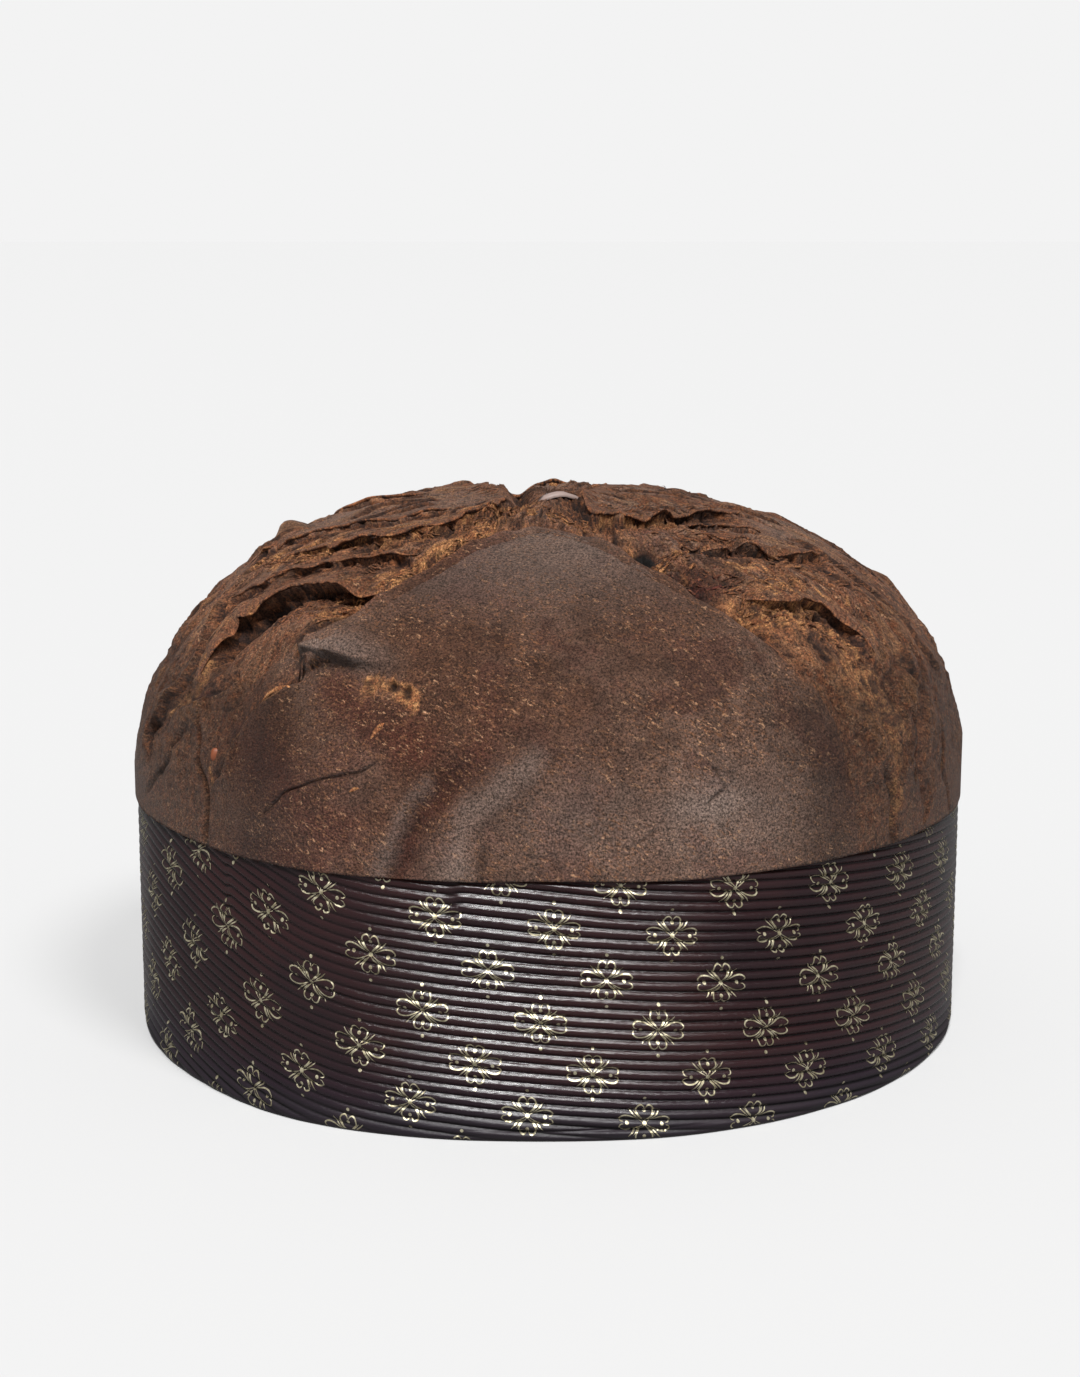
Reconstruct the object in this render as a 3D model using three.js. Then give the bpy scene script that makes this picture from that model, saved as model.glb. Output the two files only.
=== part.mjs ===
import * as THREE from 'three';

// Panettone: a low, wide sweet loaf, still in the ribbed paper case it was baked in.
// Millimetres, +Z up, the scored front towards -Y, the origin under the middle of the base.
// An angle goes round from the front: 0 is the front, a quarter turn is +X, minus is the left.

// Paper case
const CASE_RADIUS = 105;
const CASE_HEIGHT = 60;
const CASE_WALL = 1.2;
const CASE_FLOOR = 1;
const CASE_CORNER = 3;
const CASE_COLUMNS = 48;
const CASE_COLOUR = '#3b2529';

// Ribs: rounded flutes pressed in the paper. They are level at the back and climb across the front
// from right to left, by a whole number of ribs so that each one meets another behind.
const RIB_PITCH = 2.3;
const RIB_DEPTH = 0.5;
const RIB_TRIM = 0.4;
const CLIMB_RIBS = 16;
const CLIMB_EVEN = { from: 78, to: -70, height: 23.3 };
const CLIMB_STEEP = { from: -20, to: -70 };
const FAN = { from: -20, to: -70, backFrom: -100, backTo: -165, stretch: 0.12 };

// The case isn't quite round: flat at the front and back, and pushed out at the front left
const FLAT = { depth: 1.3, halfWidth: 13 };
const BULGE = { at: -33, height: 2.2, halfWidth: 16 };

// Loaf: the part in the case, then a lip over the paper's edge, then the dome
const CLEARANCE = 0.6;
const GAP = 0.3;
const LIP_OVERHANG = 1;
const LIP_ROUND = 0.8;
const LOAF_CORNER = 4;
const DOME_HEIGHT = 74.3;
const DOME_OUT_POWER = 2.436;
const DOME_UP_POWER = 2.274;
const DOME_ROWS = 34;
const LOAF_COLUMNS = 96;
const LOAF_COLOUR = '#4a2f22';

// The crust is pushed out of or into the loaf along lines from this point on its axis
const HEART = new THREE.Vector3(0, 0, 55);

// Tears in the crust, seen from above. The skin lies on the left of each path, lifted by `rise`;
// on its right the torn crumb lies `drop` deeper, for about `reach`.
const TEARS = [
  tear({ rise: 1.2, drop: 4.4, reach: 9 },
    [57, -76], [39, -70], [14, -53], [0, -44], [-15, -52], [-24, -60], [-42, -70], [-55, -69]),
  tear({ rise: 1.6, drop: 3.2, reach: 8 },
    [-68, -26], [-41, -40], [-25, -39], [-12, -27], [-8, -8], [-18, 14], [-36, 40], [-56, 62]),
  tear({ rise: 1.6, drop: 5.5, reach: 7 },
    [-80, -55], [-73, -49], [-62, -53], [-46, -61], [-37, -62]),
  tear({ rise: 1.6, drop: 3.2, reach: 8 },
    [54, 64], [34, 40], [14, 10], [7, -28], [27, -33], [38, -28], [52, -8]),
  tear({ rise: 1.4, drop: 2.2, reach: 6 },
    [34, -42], [47, -38], [66, -30], [78, -16]),
  tear({ rise: 1.4, drop: 2.4, reach: 8 },
    [49, -66], [60, -56], [68, -53], [76, -51]),
  tear({ rise: 1.2, drop: 4.4, reach: 9 },
    [-62, 70], [-40, 62], [-16, 48], [4, 38], [20, 48], [36, 62], [60, 70]),
];

// Points of the crust this near to a tear are drawn onto its edge, which keeps it clean: in mm,
// and as a share of the distance between points
const EDGE_SNAP = 2.1;
const EDGE_SNAP_SHARE = 0.48;
const ON_EDGE = 0.01;

// Hollows and bumps of the torn crumb: place seen from above, height and radius
const LUMPS = [
  { at: [19, -49], height: -3.5, radius: 7 },
  { at: [38, -57], height: -4, radius: 9 },
  { at: [60, -62], height: 1.6, radius: 9 },
  { at: [-69, 2], height: 3, radius: 5 },
  { at: [2, -12], height: 1.5, radius: 8 },
  { at: [-38, -83], height: -1.2, radius: 8 },
  { at: [72, 30], height: 1.4, radius: 12 },
  { at: [-60, 34], height: -1.4, radius: 10 },
];

// Heights between which the relief fades in above the lip
const FADE = { from: 62, to: 78 };

// Slow waves all over the dome
const WAVE_HEIGHT = 0.45;
const WAVE_LENGTH = 38;

function radians(degrees) {
  return THREE.MathUtils.degToRad(degrees);
}

function smooth(value, from, to) {
  const share = THREE.MathUtils.clamp((value - from) / (to - from), 0, 1);
  return share * share * (3 - 2 * share);
}

function hump(distance, halfWidth) {
  return Math.exp(-((distance / halfWidth) ** 2));
}

function tear({ rise, drop, reach }, ...points) {
  const path = points.map(([x, y]) => new THREE.Vector2(x, y));
  return { rise, drop, reach, path };
}

// How far round the case is from a true circle, as a factor on every radius
function roundness(degrees) {
  const fromBack = 180 - Math.abs(degrees);
  const flats = hump(degrees, FLAT.halfWidth) + hump(fromBack, FLAT.halfWidth);
  const bulge = hump(degrees - BULGE.at, BULGE.halfWidth);
  return 1 + (BULGE.height * bulge - FLAT.depth * flats) / CASE_RADIUS;
}

// Height that a rib has gained at an angle, on its way from the right round to the left
function climb(degrees) {
  const steepHeight = CLIMB_RIBS * RIB_PITCH - CLIMB_EVEN.height;
  const way = (degrees - CLIMB_EVEN.from) / (CLIMB_EVEN.to - CLIMB_EVEN.from);
  const even = CLIMB_EVEN.height * THREE.MathUtils.clamp(way, 0, 1);
  return even + steepHeight * smooth(degrees, CLIMB_STEEP.from, CLIMB_STEEP.to);
}

// The ribs stand further apart on the left flank
function spread(degrees) {
  const opened = smooth(degrees, FAN.from, FAN.to);
  const closed = smooth(degrees, FAN.backFrom, FAN.backTo);
  return 1 + FAN.stretch * opened * (1 - closed);
}

// The case's outside corner is a quarter circle
function cornerInset(z) {
  const below = Math.max(CASE_CORNER - z, 0);
  return CASE_CORNER - Math.sqrt(CASE_CORNER ** 2 - below ** 2);
}

function evenAngles(count) {
  return Array.from({ length: count }, (_, i) => (i / count) * 360 - 180);
}

function roundPoint(degrees, radius, z) {
  const angle = radians(degrees);
  const r = radius * roundness(degrees);
  return [r * Math.sin(angle), -r * Math.cos(angle), z];
}

// A closed shell that collects points and triangles
class Shell {
  constructor() {
    this.positions = [];
    this.indices = [];
  }

  point(coordinates) {
    this.positions.push(...coordinates);
    return this.positions.length / 3 - 1;
  }

  distance(one, other) {
    const difference = [0, 1, 2].map((k) => this.positions[3 * one + k] - this.positions[3 * other + k]);
    return Math.hypot(...difference);
  }

  // A band of quads between two rings, each running round from left to right. A quad is split
  // along its shorter diagonal, so that an edge in the relief stays a clean line.
  band(lower, upper) {
    for (let i = 0; i < lower.length; i++) {
      const next = (i + 1) % lower.length;
      const rising = this.distance(lower[i], upper[next]);
      const falling = this.distance(lower[next], upper[i]);
      if (rising <= falling) {
        this.indices.push(lower[i], lower[next], upper[next]);
        this.indices.push(lower[i], upper[next], upper[i]);
      } else {
        this.indices.push(lower[i], lower[next], upper[i]);
        this.indices.push(lower[next], upper[next], upper[i]);
      }
    }
  }

  // A disc from a ring to its middle, facing up or down
  disc(ring, middle, facesUp) {
    for (let i = 0; i < ring.length; i++) {
      const next = (i + 1) % ring.length;
      const pair = facesUp ? [ring[i], ring[next]] : [ring[next], ring[i]];
      this.indices.push(middle, ...pair);
    }
  }

  // Triangles between two columns whose points are matched by their keys, from the bottom up
  zip(left, right) {
    const lastLeft = left.length - 1;
    const lastRight = right.length - 1;
    let i = 0;
    let j = 0;
    while (i < lastLeft || j < lastRight) {
      const leftKey = i < lastLeft ? left[i + 1].key : null;
      const rightKey = j < lastRight ? right[j + 1].key : null;
      const takeLeft = rightKey === null || (leftKey !== null && leftKey <= rightKey);
      const takeRight = leftKey === null || (rightKey !== null && rightKey <= leftKey);
      if (takeRight) {
        this.indices.push(left[i].point, right[j].point, right[j + 1].point);
        j += 1;
      }
      if (takeLeft) {
        this.indices.push(left[i].point, right[j].point, left[i + 1].point);
        i += 1;
      }
    }
  }

  geometry() {
    const geometry = new THREE.BufferGeometry();
    geometry.setAttribute('position', new THREE.Float32BufferAttribute(this.positions, 3));
    geometry.setIndex(this.indices);
    geometry.computeVertexNormals();
    return geometry;
  }
}

// One column of the ribbed wall: a point on every crest and groove between the base and the rim
function ribbedColumn(shell, degrees) {
  const half = RIB_PITCH / 2 * spread(degrees);
  const start = climb(degrees);
  const wallPoint = (z, relief) => {
    const radius = CASE_RADIUS + relief - cornerInset(z);
    return shell.point(roundPoint(degrees, radius, z));
  };
  const column = [{ key: -Infinity, point: wallPoint(0, 0) }];
  const lowest = Math.ceil((RIB_TRIM - start) / half);
  const highest = Math.floor((CASE_HEIGHT - RIB_TRIM - start) / half);
  for (let key = lowest; key <= highest; key++) {
    const relief = key % 2 === 0 ? RIB_DEPTH / 2 : -RIB_DEPTH / 2;
    column.push({ key, point: wallPoint(start + key * half, relief) });
  }
  column.push({ key: Infinity, point: wallPoint(CASE_HEIGHT, 0) });
  return column;
}

// The paper case: a round cup with a flat floor and a ribbed wall
function paperCaseGeometry() {
  const shell = new Shell();
  const angles = evenAngles(CASE_COLUMNS);
  const columns = angles.map((degrees) => ribbedColumn(shell, degrees));
  for (let i = 0; i < CASE_COLUMNS - 1; i++) {
    shell.zip(columns[i], columns[i + 1]);
  }
  const meetsLast = columns[0].map(({ key, point }) => ({ key: key + 2 * CLIMB_RIBS, point }));
  shell.zip(columns[CASE_COLUMNS - 1], meetsLast);

  const ring = (radius, z) => angles.map((degrees) => shell.point(roundPoint(degrees, radius, z)));
  const insideRadius = CASE_RADIUS - CASE_WALL;
  const base = columns.map((column) => column[0].point);
  const rim = columns.map((column) => column[column.length - 1].point);
  const insideRim = ring(insideRadius, CASE_HEIGHT);
  const insideFloor = ring(insideRadius, CASE_FLOOR);
  shell.band(rim, insideRim);
  shell.band(insideRim, insideFloor);
  shell.disc(insideFloor, shell.point([0, 0, CASE_FLOOR]), true);
  shell.disc(base, shell.point([0, 0, 0]), false);
  return shell.geometry();
}

// Radius and height of the dome at a share of the way from the crown down to the lip
function domePoint(share) {
  const turn = share * Math.PI / 2;
  const lipRadius = CASE_RADIUS + LIP_OVERHANG;
  const radius = lipRadius * Math.sin(turn) ** (2 / DOME_OUT_POWER);
  const height = DOME_HEIGHT * Math.cos(turn) ** (2 / DOME_UP_POWER);
  return new THREE.Vector2(radius, CASE_HEIGHT + GAP + height);
}

// Half section of the loaf, from the edge of its underside up to just short of the crown
function loafSection() {
  const insideRadius = CASE_RADIUS - CASE_WALL - CLEARANCE;
  const floor = CASE_FLOOR + GAP;
  const lipBottom = CASE_HEIGHT + GAP;
  const points = [
    new THREE.Vector2(insideRadius - LOAF_CORNER, floor),
    new THREE.Vector2(insideRadius, floor + LOAF_CORNER),
    new THREE.Vector2(insideRadius, lipBottom),
    new THREE.Vector2(CASE_RADIUS + LIP_OVERHANG - LIP_ROUND, lipBottom),
  ];
  for (let row = DOME_ROWS - 1; row > 0; row--) {
    points.push(domePoint(row / DOME_ROWS));
  }
  return points;
}

// The point of a path nearest to a spot, how far off it is, on which side and how far along.
// The edge itself counts as skin.
function placeOnPath(path, x, y) {
  const spot = new THREE.Vector2(x, y);
  let nearest = { distance: Infinity };
  for (let i = 0; i < path.length - 1; i++) {
    const step = path[i + 1].clone().sub(path[i]);
    const toSpot = spot.clone().sub(path[i]);
    const share = THREE.MathUtils.clamp(toSpot.dot(step) / step.lengthSq(), 0, 1);
    const point = path[i].clone().addScaledVector(step, share);
    const distance = spot.distanceTo(point);
    if (distance < nearest.distance) {
      const along = (i + share) / (path.length - 1);
      const onSkin = distance < ON_EDGE || step.cross(toSpot) > 0;
      nearest = { distance, point, onSkin, along };
    }
  }
  return nearest;
}

// What one tear does to the crust at a spot: skin lifted on one side, crumb sunk on the other
function tearRelief({ rise, drop, reach, path }, x, y) {
  const { distance, onSkin, along } = placeOnPath(path, x, y);
  const whole = smooth(along, 0, 0.15) * smooth(along, 1, 0.85);
  const height = onSkin ? rise : -drop;
  return height * hump(distance, reach) * whole;
}

function lumpRelief({ at, height, radius }, x, y) {
  return height * hump(Math.hypot(x - at[0], y - at[1]), radius);
}

function waveRelief(x, y, z) {
  const turn = 2 * Math.PI / WAVE_LENGTH;
  return WAVE_HEIGHT * Math.sin(turn * (x + z)) * Math.cos(turn * (y - 0.6 * z));
}

// Relief of the crust, fading out at the lip
function crustRelief(x, y, z) {
  const tears = TEARS.reduce((sum, one) => sum + tearRelief(one, x, y), 0);
  const lumps = LUMPS.reduce((sum, one) => sum + lumpRelief(one, x, y), 0);
  return (tears + lumps + waveRelief(x, y, z)) * smooth(z, FADE.from, FADE.to);
}

// Height of the smooth dome over a spot seen from above
function domeHeight(x, y) {
  const radius = Math.min(Math.hypot(x, y) / (CASE_RADIUS + LIP_OVERHANG), 1);
  const share = (1 - radius ** DOME_OUT_POWER) ** (1 / DOME_UP_POWER);
  return CASE_HEIGHT + GAP + DOME_HEIGHT * share;
}

// Draws a point of the dome onto the edge of a tear that runs close by
function snapToEdges(spot) {
  const between = (2 * Math.PI * Math.hypot(spot.x, spot.y)) / LOAF_COLUMNS;
  const reach = Math.min(EDGE_SNAP, EDGE_SNAP_SHARE * between);
  for (const { path } of TEARS) {
    const { distance, point } = placeOnPath(path, spot.x, spot.y);
    if (distance < reach) {
      spot.set(point.x, point.y, domeHeight(point.x, point.y));
    }
  }
}

// A point of the crust: on the smooth dome first, then drawn to a tear's edge and moved by the relief
function crustPoint(degrees, radius, z) {
  const angle = radians(degrees);
  const spot = new THREE.Vector3(radius * Math.sin(angle), -radius * Math.cos(angle), z);
  if (z > FADE.to) {
    snapToEdges(spot);
  }
  const relief = crustRelief(spot.x, spot.y, spot.z);
  const factor = roundness(THREE.MathUtils.radToDeg(Math.atan2(spot.x, -spot.y)));
  spot.multiply(new THREE.Vector3(factor, factor, 1));
  const outward = spot.clone().sub(HEART).normalize();
  return spot.addScaledVector(outward, relief).toArray();
}

// The loaf: rings of points up its section, with a disc below and the crown on top
function loafGeometry() {
  const shell = new Shell();
  const angles = evenAngles(LOAF_COLUMNS);
  const section = loafSection();
  const rings = section.map(({ x, y }) => angles.map((degrees) => shell.point(crustPoint(degrees, x, y))));
  for (let i = 0; i < rings.length - 1; i++) {
    shell.band(rings[i], rings[i + 1]);
  }
  shell.disc(rings[0], shell.point([0, 0, CASE_FLOOR + GAP]), false);
  const crown = crustPoint(0, 0, CASE_HEIGHT + GAP + DOME_HEIGHT);
  shell.disc(rings[rings.length - 1], shell.point(crown), true);
  return shell.geometry();
}

function piece(name, geometry, colour, roughness) {
  const material = new THREE.MeshStandardMaterial({ color: colour, roughness, metalness: 0 });
  const mesh = new THREE.Mesh(geometry, material);
  mesh.name = name;
  return mesh;
}

const panettone = new THREE.Group();
panettone.add(piece('paper_case', paperCaseGeometry(), CASE_COLOUR, 0.45));
panettone.add(piece('loaf', loafGeometry(), LOAF_COLOUR, 0.7));

export default panettone;
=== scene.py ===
# %% [markdown]
# # A low panettone in its paper case
# A panettone basso is a wide, low sweet loaf. Its dough is proved and baked in a round case of ribbed
# paper, and it is sold in that case. Before baking, the top is scored with a cross and the skin between
# the cuts is peeled back a little. The dough then swells up through the cuts. The front flap of skin
# stays smooth and leathery, and the crumb round it tears into crags and fibres.
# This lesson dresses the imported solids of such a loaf. It starts by loading them as a fixed frame.

import bpy
import numpy as np
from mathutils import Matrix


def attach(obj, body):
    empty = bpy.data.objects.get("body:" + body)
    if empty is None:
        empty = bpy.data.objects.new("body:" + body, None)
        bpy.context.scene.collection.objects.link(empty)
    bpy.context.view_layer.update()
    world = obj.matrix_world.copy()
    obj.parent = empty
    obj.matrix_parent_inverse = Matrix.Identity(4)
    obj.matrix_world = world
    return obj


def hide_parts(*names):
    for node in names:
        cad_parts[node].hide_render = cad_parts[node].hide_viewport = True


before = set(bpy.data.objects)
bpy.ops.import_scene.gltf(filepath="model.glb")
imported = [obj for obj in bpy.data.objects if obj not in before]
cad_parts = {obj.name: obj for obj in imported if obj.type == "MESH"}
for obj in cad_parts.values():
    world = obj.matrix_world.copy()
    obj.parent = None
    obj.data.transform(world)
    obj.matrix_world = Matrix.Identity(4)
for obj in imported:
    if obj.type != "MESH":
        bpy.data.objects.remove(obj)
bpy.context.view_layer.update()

MM = 0.001
print("nodes:", sorted(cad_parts))

# %% [markdown]
# ## Sizes
# The shapes below are formulas, so each has a few driving sizes. They are in millimetres and are the
# same as the solids', so that every surface lies where its solid does. An angle goes round from the
# front: 0 is the front, 90 is +X, and minus is the left.

# %% Sizes of the case and the loaf
CASE_RADIUS = 105.0
CASE_HEIGHT = 60.0
CASE_WALL = 1.2
CASE_FLOOR = 1.0
CASE_CORNER = 1.2
RIB_PITCH = 2.3
RIB_DEPTH = 1.0
CLIMB_RIBS = 16
CLIMB_EVEN = {"start": 78.0, "end": -70.0, "height": 23.3}
CLIMB_STEEP = {"start": -20.0, "end": -70.0}
FAN = {"start": -20.0, "end": -70.0, "back_start": -100.0, "back_end": -165.0, "stretch": 0.12}
FLAT = {"depth": 1.3, "half_width": 13.0}
BULGE = {"at": -33.0, "height": 2.2, "half_width": 16.0}
GAP = 0.3
LIP_OVERHANG = 1.0
LIP_BOTTOM = CASE_HEIGHT + GAP
DOME_HEIGHT = 74.3
DOME_OUT_POWER = 2.436
DOME_UP_POWER = 2.274
LEAN = {"reach": 1.9, "at": 103.0, "half_width": 16.0}
CROWN = {"from": 133.5, "pressed": 0.3}
HEART = np.array([0.0, 0.0, 55.0])
print("case", 2 * CASE_RADIUS, "mm across, crown at", LIP_BOTTOM + DOME_HEIGHT, "mm")

# %% [markdown]
# ## Small tools
# Three shapes of curve do nearly all the work: a soft step, a soft hump and smooth noise. The noise is
# gradient noise: each corner of a grid of cells holds a random direction, and a point blends what the
# eight corners of its cell say. It is written for whole arrays, so a million points take seconds.

# %% Soft step and hump
def smooth(value, start, end):
    """A soft step: 0 before start, 1 past end, and an S curve between them."""
    share = np.clip((value - start) / (end - start), 0.0, 1.0)
    return share * share * (3.0 - 2.0 * share)


def hump(distance, half_width):
    """A bell: 1 at distance 0, falling to 1/e at half_width."""
    return np.exp(-((distance / half_width) ** 2))


# %% Gradient noise
draw = np.random.default_rng(11)
SHUFFLED = draw.permutation(256)
DIRECTIONS = draw.normal(size=(256, 3))
DIRECTIONS /= np.linalg.norm(DIRECTIONS, axis=1)[:, None]
DIRECTIONS = DIRECTIONS.astype(np.float32)
NOISE_GAIN = 1.7


def noise(x, y, z, size, seed=0):
    """Smooth noise from about -1 to 1 with lumps about size mm across.

    Each of a cell's eight corners gives the dot product of its random direction with the way to the
    point, and the eight are blended by a fifth-power S curve along each axis.
    """
    place = np.stack(np.broadcast_arrays(x, y, z)).astype(np.float32) / size
    place += np.float32(17.3 * seed + 0.5)
    cell = np.floor(place).astype(np.int64)
    inside = place - cell
    blend = inside**3 * (inside * (inside * 6 - 15) + 10)
    total = np.zeros(inside.shape[1:], np.float32)
    for corner in np.ndindex(2, 2, 2):
        i, j, k = (cell[a] + corner[a] for a in range(3))
        chosen = SHUFFLED[(SHUFFLED[(SHUFFLED[i & 255] + j) & 255] + k) & 255]
        weight = 1.0
        reach = 0.0
        for a in range(3):
            weight = weight * (blend[a] if corner[a] else 1 - blend[a])
            reach = reach + DIRECTIONS[chosen, a] * (inside[a] - corner[a])
        total += weight * reach
    return NOISE_GAIN * total


def billows(x, y, z, size, seed, gain=2.4):
    """Rounded billows from 0 to 1 with sharp creases between them: the absolute value of noise."""
    return np.minimum(gain * np.abs(noise(x, y, z, size, seed)), 1.0)


def ridges(x, y, z, size, seed):
    """Sharp ridges from -0.5 to 0.5: billows turned upside down."""
    return 0.5 - billows(x, y, z, size, seed, 2.0)


def summed(kind, x, y, z, layers):
    """A sum of noises of one kind: each layer is a size in mm, a strength and a seed."""
    return sum(strength * kind(x, y, z, size, seed) for size, strength, seed in layers)


line = noise(np.arange(0.0, 200.0), 0.0, 0.0, 10.0)
print(f"noise along 200 mm runs from {line.min():.2f} to {line.max():.2f}")


# %% [markdown]
# A surface is a grid of points joined by four-sided faces. `foreach_set` hands the whole arrays to
# Blender at once. Numbers that a material needs later, such as how torn the crust is at a point, go
# along as attributes.

# %% Put a grid of points into a mesh
def make_mesh(name, points, faces, material, attributes=None, ends=None):
    """A mesh object at the origin from points in mm (n, 3) and faces (m, 3 or 4). The ends, if any,
    are more faces with another number of corners."""
    faces = np.asarray(faces, np.int32)
    count, corners = faces.shape
    lines = faces.ravel()
    starts = np.arange(0, count * corners, corners)
    if ends is not None:
        more, wide = ends.shape
        starts = np.concatenate([starts, count * corners + np.arange(0, more * wide, wide)])
        lines = np.concatenate([lines, ends.ravel()])
    mesh = bpy.data.meshes.new(name)
    mesh.vertices.add(len(points))
    mesh.vertices.foreach_set("co", (np.asarray(points) * MM).astype(np.float32).ravel())
    mesh.loops.add(len(lines))
    mesh.loops.foreach_set("vertex_index", lines.astype(np.int32))
    mesh.polygons.add(len(starts))
    mesh.polygons.foreach_set("loop_start", starts.astype(np.int32))
    mesh.polygons.foreach_set("use_smooth", np.ones(len(starts), bool))
    for key, values in (attributes or {}).items():
        values = np.asarray(values, np.float32)
        if values.ndim > 1 and values.shape[-1] == 3:
            layer = mesh.attributes.new(key, "FLOAT_VECTOR", "POINT")
            layer.data.foreach_set("vector", values.ravel())
        else:
            layer = mesh.attributes.new(key, "FLOAT", "POINT")
            layer.data.foreach_set("value", values.ravel())
    mesh.update(calc_edges=True)
    mesh.validate()
    mesh.materials.append(material)
    piece = bpy.data.objects.new(name, mesh)
    bpy.context.scene.collection.objects.link(piece)
    print(f"{name}: {len(points)} points, {len(lines) - 2 * len(starts)} triangles")
    return piece


def grid_faces(rows, columns, closed=False):
    """Four-sided faces between the points of a grid, row by row; closed joins the last column to
    the first. Columns run to the right and rows upwards as seen from outside."""
    index = np.arange(rows * columns).reshape(rows, columns)
    if closed:
        index = np.concatenate([index, index[:, :1]], axis=1)
    low, high = index[:-1], index[1:]
    quads = np.stack([low[:, :-1], low[:, 1:], high[:, 1:], high[:, :-1]], axis=-1)
    return quads.reshape(-1, 4)


# %% [markdown]
# ## Shape of the case
# A paper case is never quite round: this one is flat at the front and pushed out at the front left.
# One factor on every radius does that, for the paper and the loaf alike. The ribs are level at the
# back and climb from right to left across the front, by a whole number of ribs, so they close.

# %% Roundness and the climb of the ribs
def roundness(degrees):
    """A factor on every radius: one, less two flats and plus one bulge, each a bell."""
    from_back = 180.0 - np.abs(degrees)
    flats = hump(degrees, FLAT["half_width"]) + hump(from_back, FLAT["half_width"])
    bulge = hump(degrees - BULGE["at"], BULGE["half_width"])
    return 1.0 + (BULGE["height"] * bulge - FLAT["depth"] * flats) / CASE_RADIUS


def climb(degrees):
    """Height in mm that a rib has gained at an angle: an even climb plus a soft step."""
    steep_height = CLIMB_RIBS * RIB_PITCH - CLIMB_EVEN["height"]
    way = (degrees - CLIMB_EVEN["start"]) / (CLIMB_EVEN["end"] - CLIMB_EVEN["start"])
    even = CLIMB_EVEN["height"] * np.clip(way, 0.0, 1.0)
    return even + steep_height * smooth(degrees, CLIMB_STEEP["start"], CLIMB_STEEP["end"])


def spread(degrees):
    """How much further apart the ribs stand on the left flank, as a factor."""
    opened = smooth(degrees, FAN["start"], FAN["end"])
    closed = smooth(degrees, FAN["back_start"], FAN["back_end"])
    return 1.0 + FAN["stretch"] * opened * (1.0 - closed)


def around(degrees, radius, z):
    """Points in mm at an angle, a radius before the case's unevenness, and a height."""
    angle = np.radians(degrees)
    r = radius * roundness(degrees)
    return np.stack(np.broadcast_arrays(r * np.sin(angle), -r * np.cos(angle), z), axis=-1)


print(f"the bulge is {CASE_RADIUS * roundness(BULGE['at']):.1f} mm from the middle")
print(f"the ribs climb {climb(-70.0) - climb(78.0):.1f} mm across the front")

# %% [markdown]
# ## Dome of the loaf
# Seen from the side, the dome is a superellipse: fuller than an ellipse, nearly upright at the lip and
# nearly flat at the crown. It could be a scaled sphere, but that would be too pointed at the shoulder.
# No loaf rises quite straight, so its shoulder leans a little to the right.

# %% Section of the dome
def dome_section(share):
    """Radius and height in mm from the crown (0) to the lip (1): sine and cosine of a quarter turn,
    each raised to its own power."""
    turn = share * np.pi / 2
    radius = (CASE_RADIUS + LIP_OVERHANG) * np.sin(turn) ** (2 / DOME_OUT_POWER)
    height = DOME_HEIGHT * np.clip(np.cos(turn), 0.0, 1.0) ** (2 / DOME_UP_POWER)
    return radius, LIP_BOTTOM + height


def lean(z):
    """How far in mm the dome leans to the right at a height: a bell."""
    return LEAN["reach"] * hump(z - LEAN["at"], LEAN["half_width"])


def dome_height(x, y):
    """Height of the smooth dome over a spot seen from above. The lean depends on the height, so a few
    steps find the two together."""
    z = LIP_BOTTOM + DOME_HEIGHT
    for _ in range(5):
        radius = np.minimum(np.hypot(x - lean(z), y) / (CASE_RADIUS + LIP_OVERHANG), 1.0)
        z = LIP_BOTTOM + DOME_HEIGHT * (1.0 - radius**DOME_OUT_POWER) ** (1 / DOME_UP_POWER)
    return z


print(f"the dome is {dome_height(60.0, 0.0):.1f} mm high 60 mm to the right of its middle")

# %% [markdown]
# ## Tears in the crust
# Each tear is a path seen from above. The skin lies on its left and is lifted; on its right the crumb
# has sunk and torn. The big ones are the edges of the four flaps and are in the solid too. The small
# ones, slits and cracks, are only here. The nearest point of a path gives three numbers for any spot of
# the crust: how far off the tear is, on which side, and how far along. Crags and fibres follow a tear
# when their noise reads those numbers in place of x and y. The steep side of the dome has tears and
# folds of its own, whose paths run round the side. All sizes are in mm.

# %% Kinds of marks
def tear(rise, drop, reach, *path, wild=1.0):
    """A tear: how far the skin rises, the crumb sinks and both reach in mm, its path, and how much of
    the bending noise it follows."""
    return {"rise": rise, "drop": drop, "reach": reach, "path": np.array(path, float), "wild": wild}


def stroke(reach, *path, **strengths):
    """A mark along a path: how far it reaches to both sides in mm, the path, and how deep it is, how dark
    its painted shade is, and how much gloss and painted sheen it has."""
    return {"reach": reach, "path": np.array(path, float), **strengths}


def lump(x, y, height, radius, dark=0.0, red=0.0):
    """A bump, or a hole where the height is minus: its place seen from above, its size, how dark its
    painted shade is and how red it is.
    """
    return {"x": x, "y": y, "height": height, "radius": radius, "dark": dark, "red": red}


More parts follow.
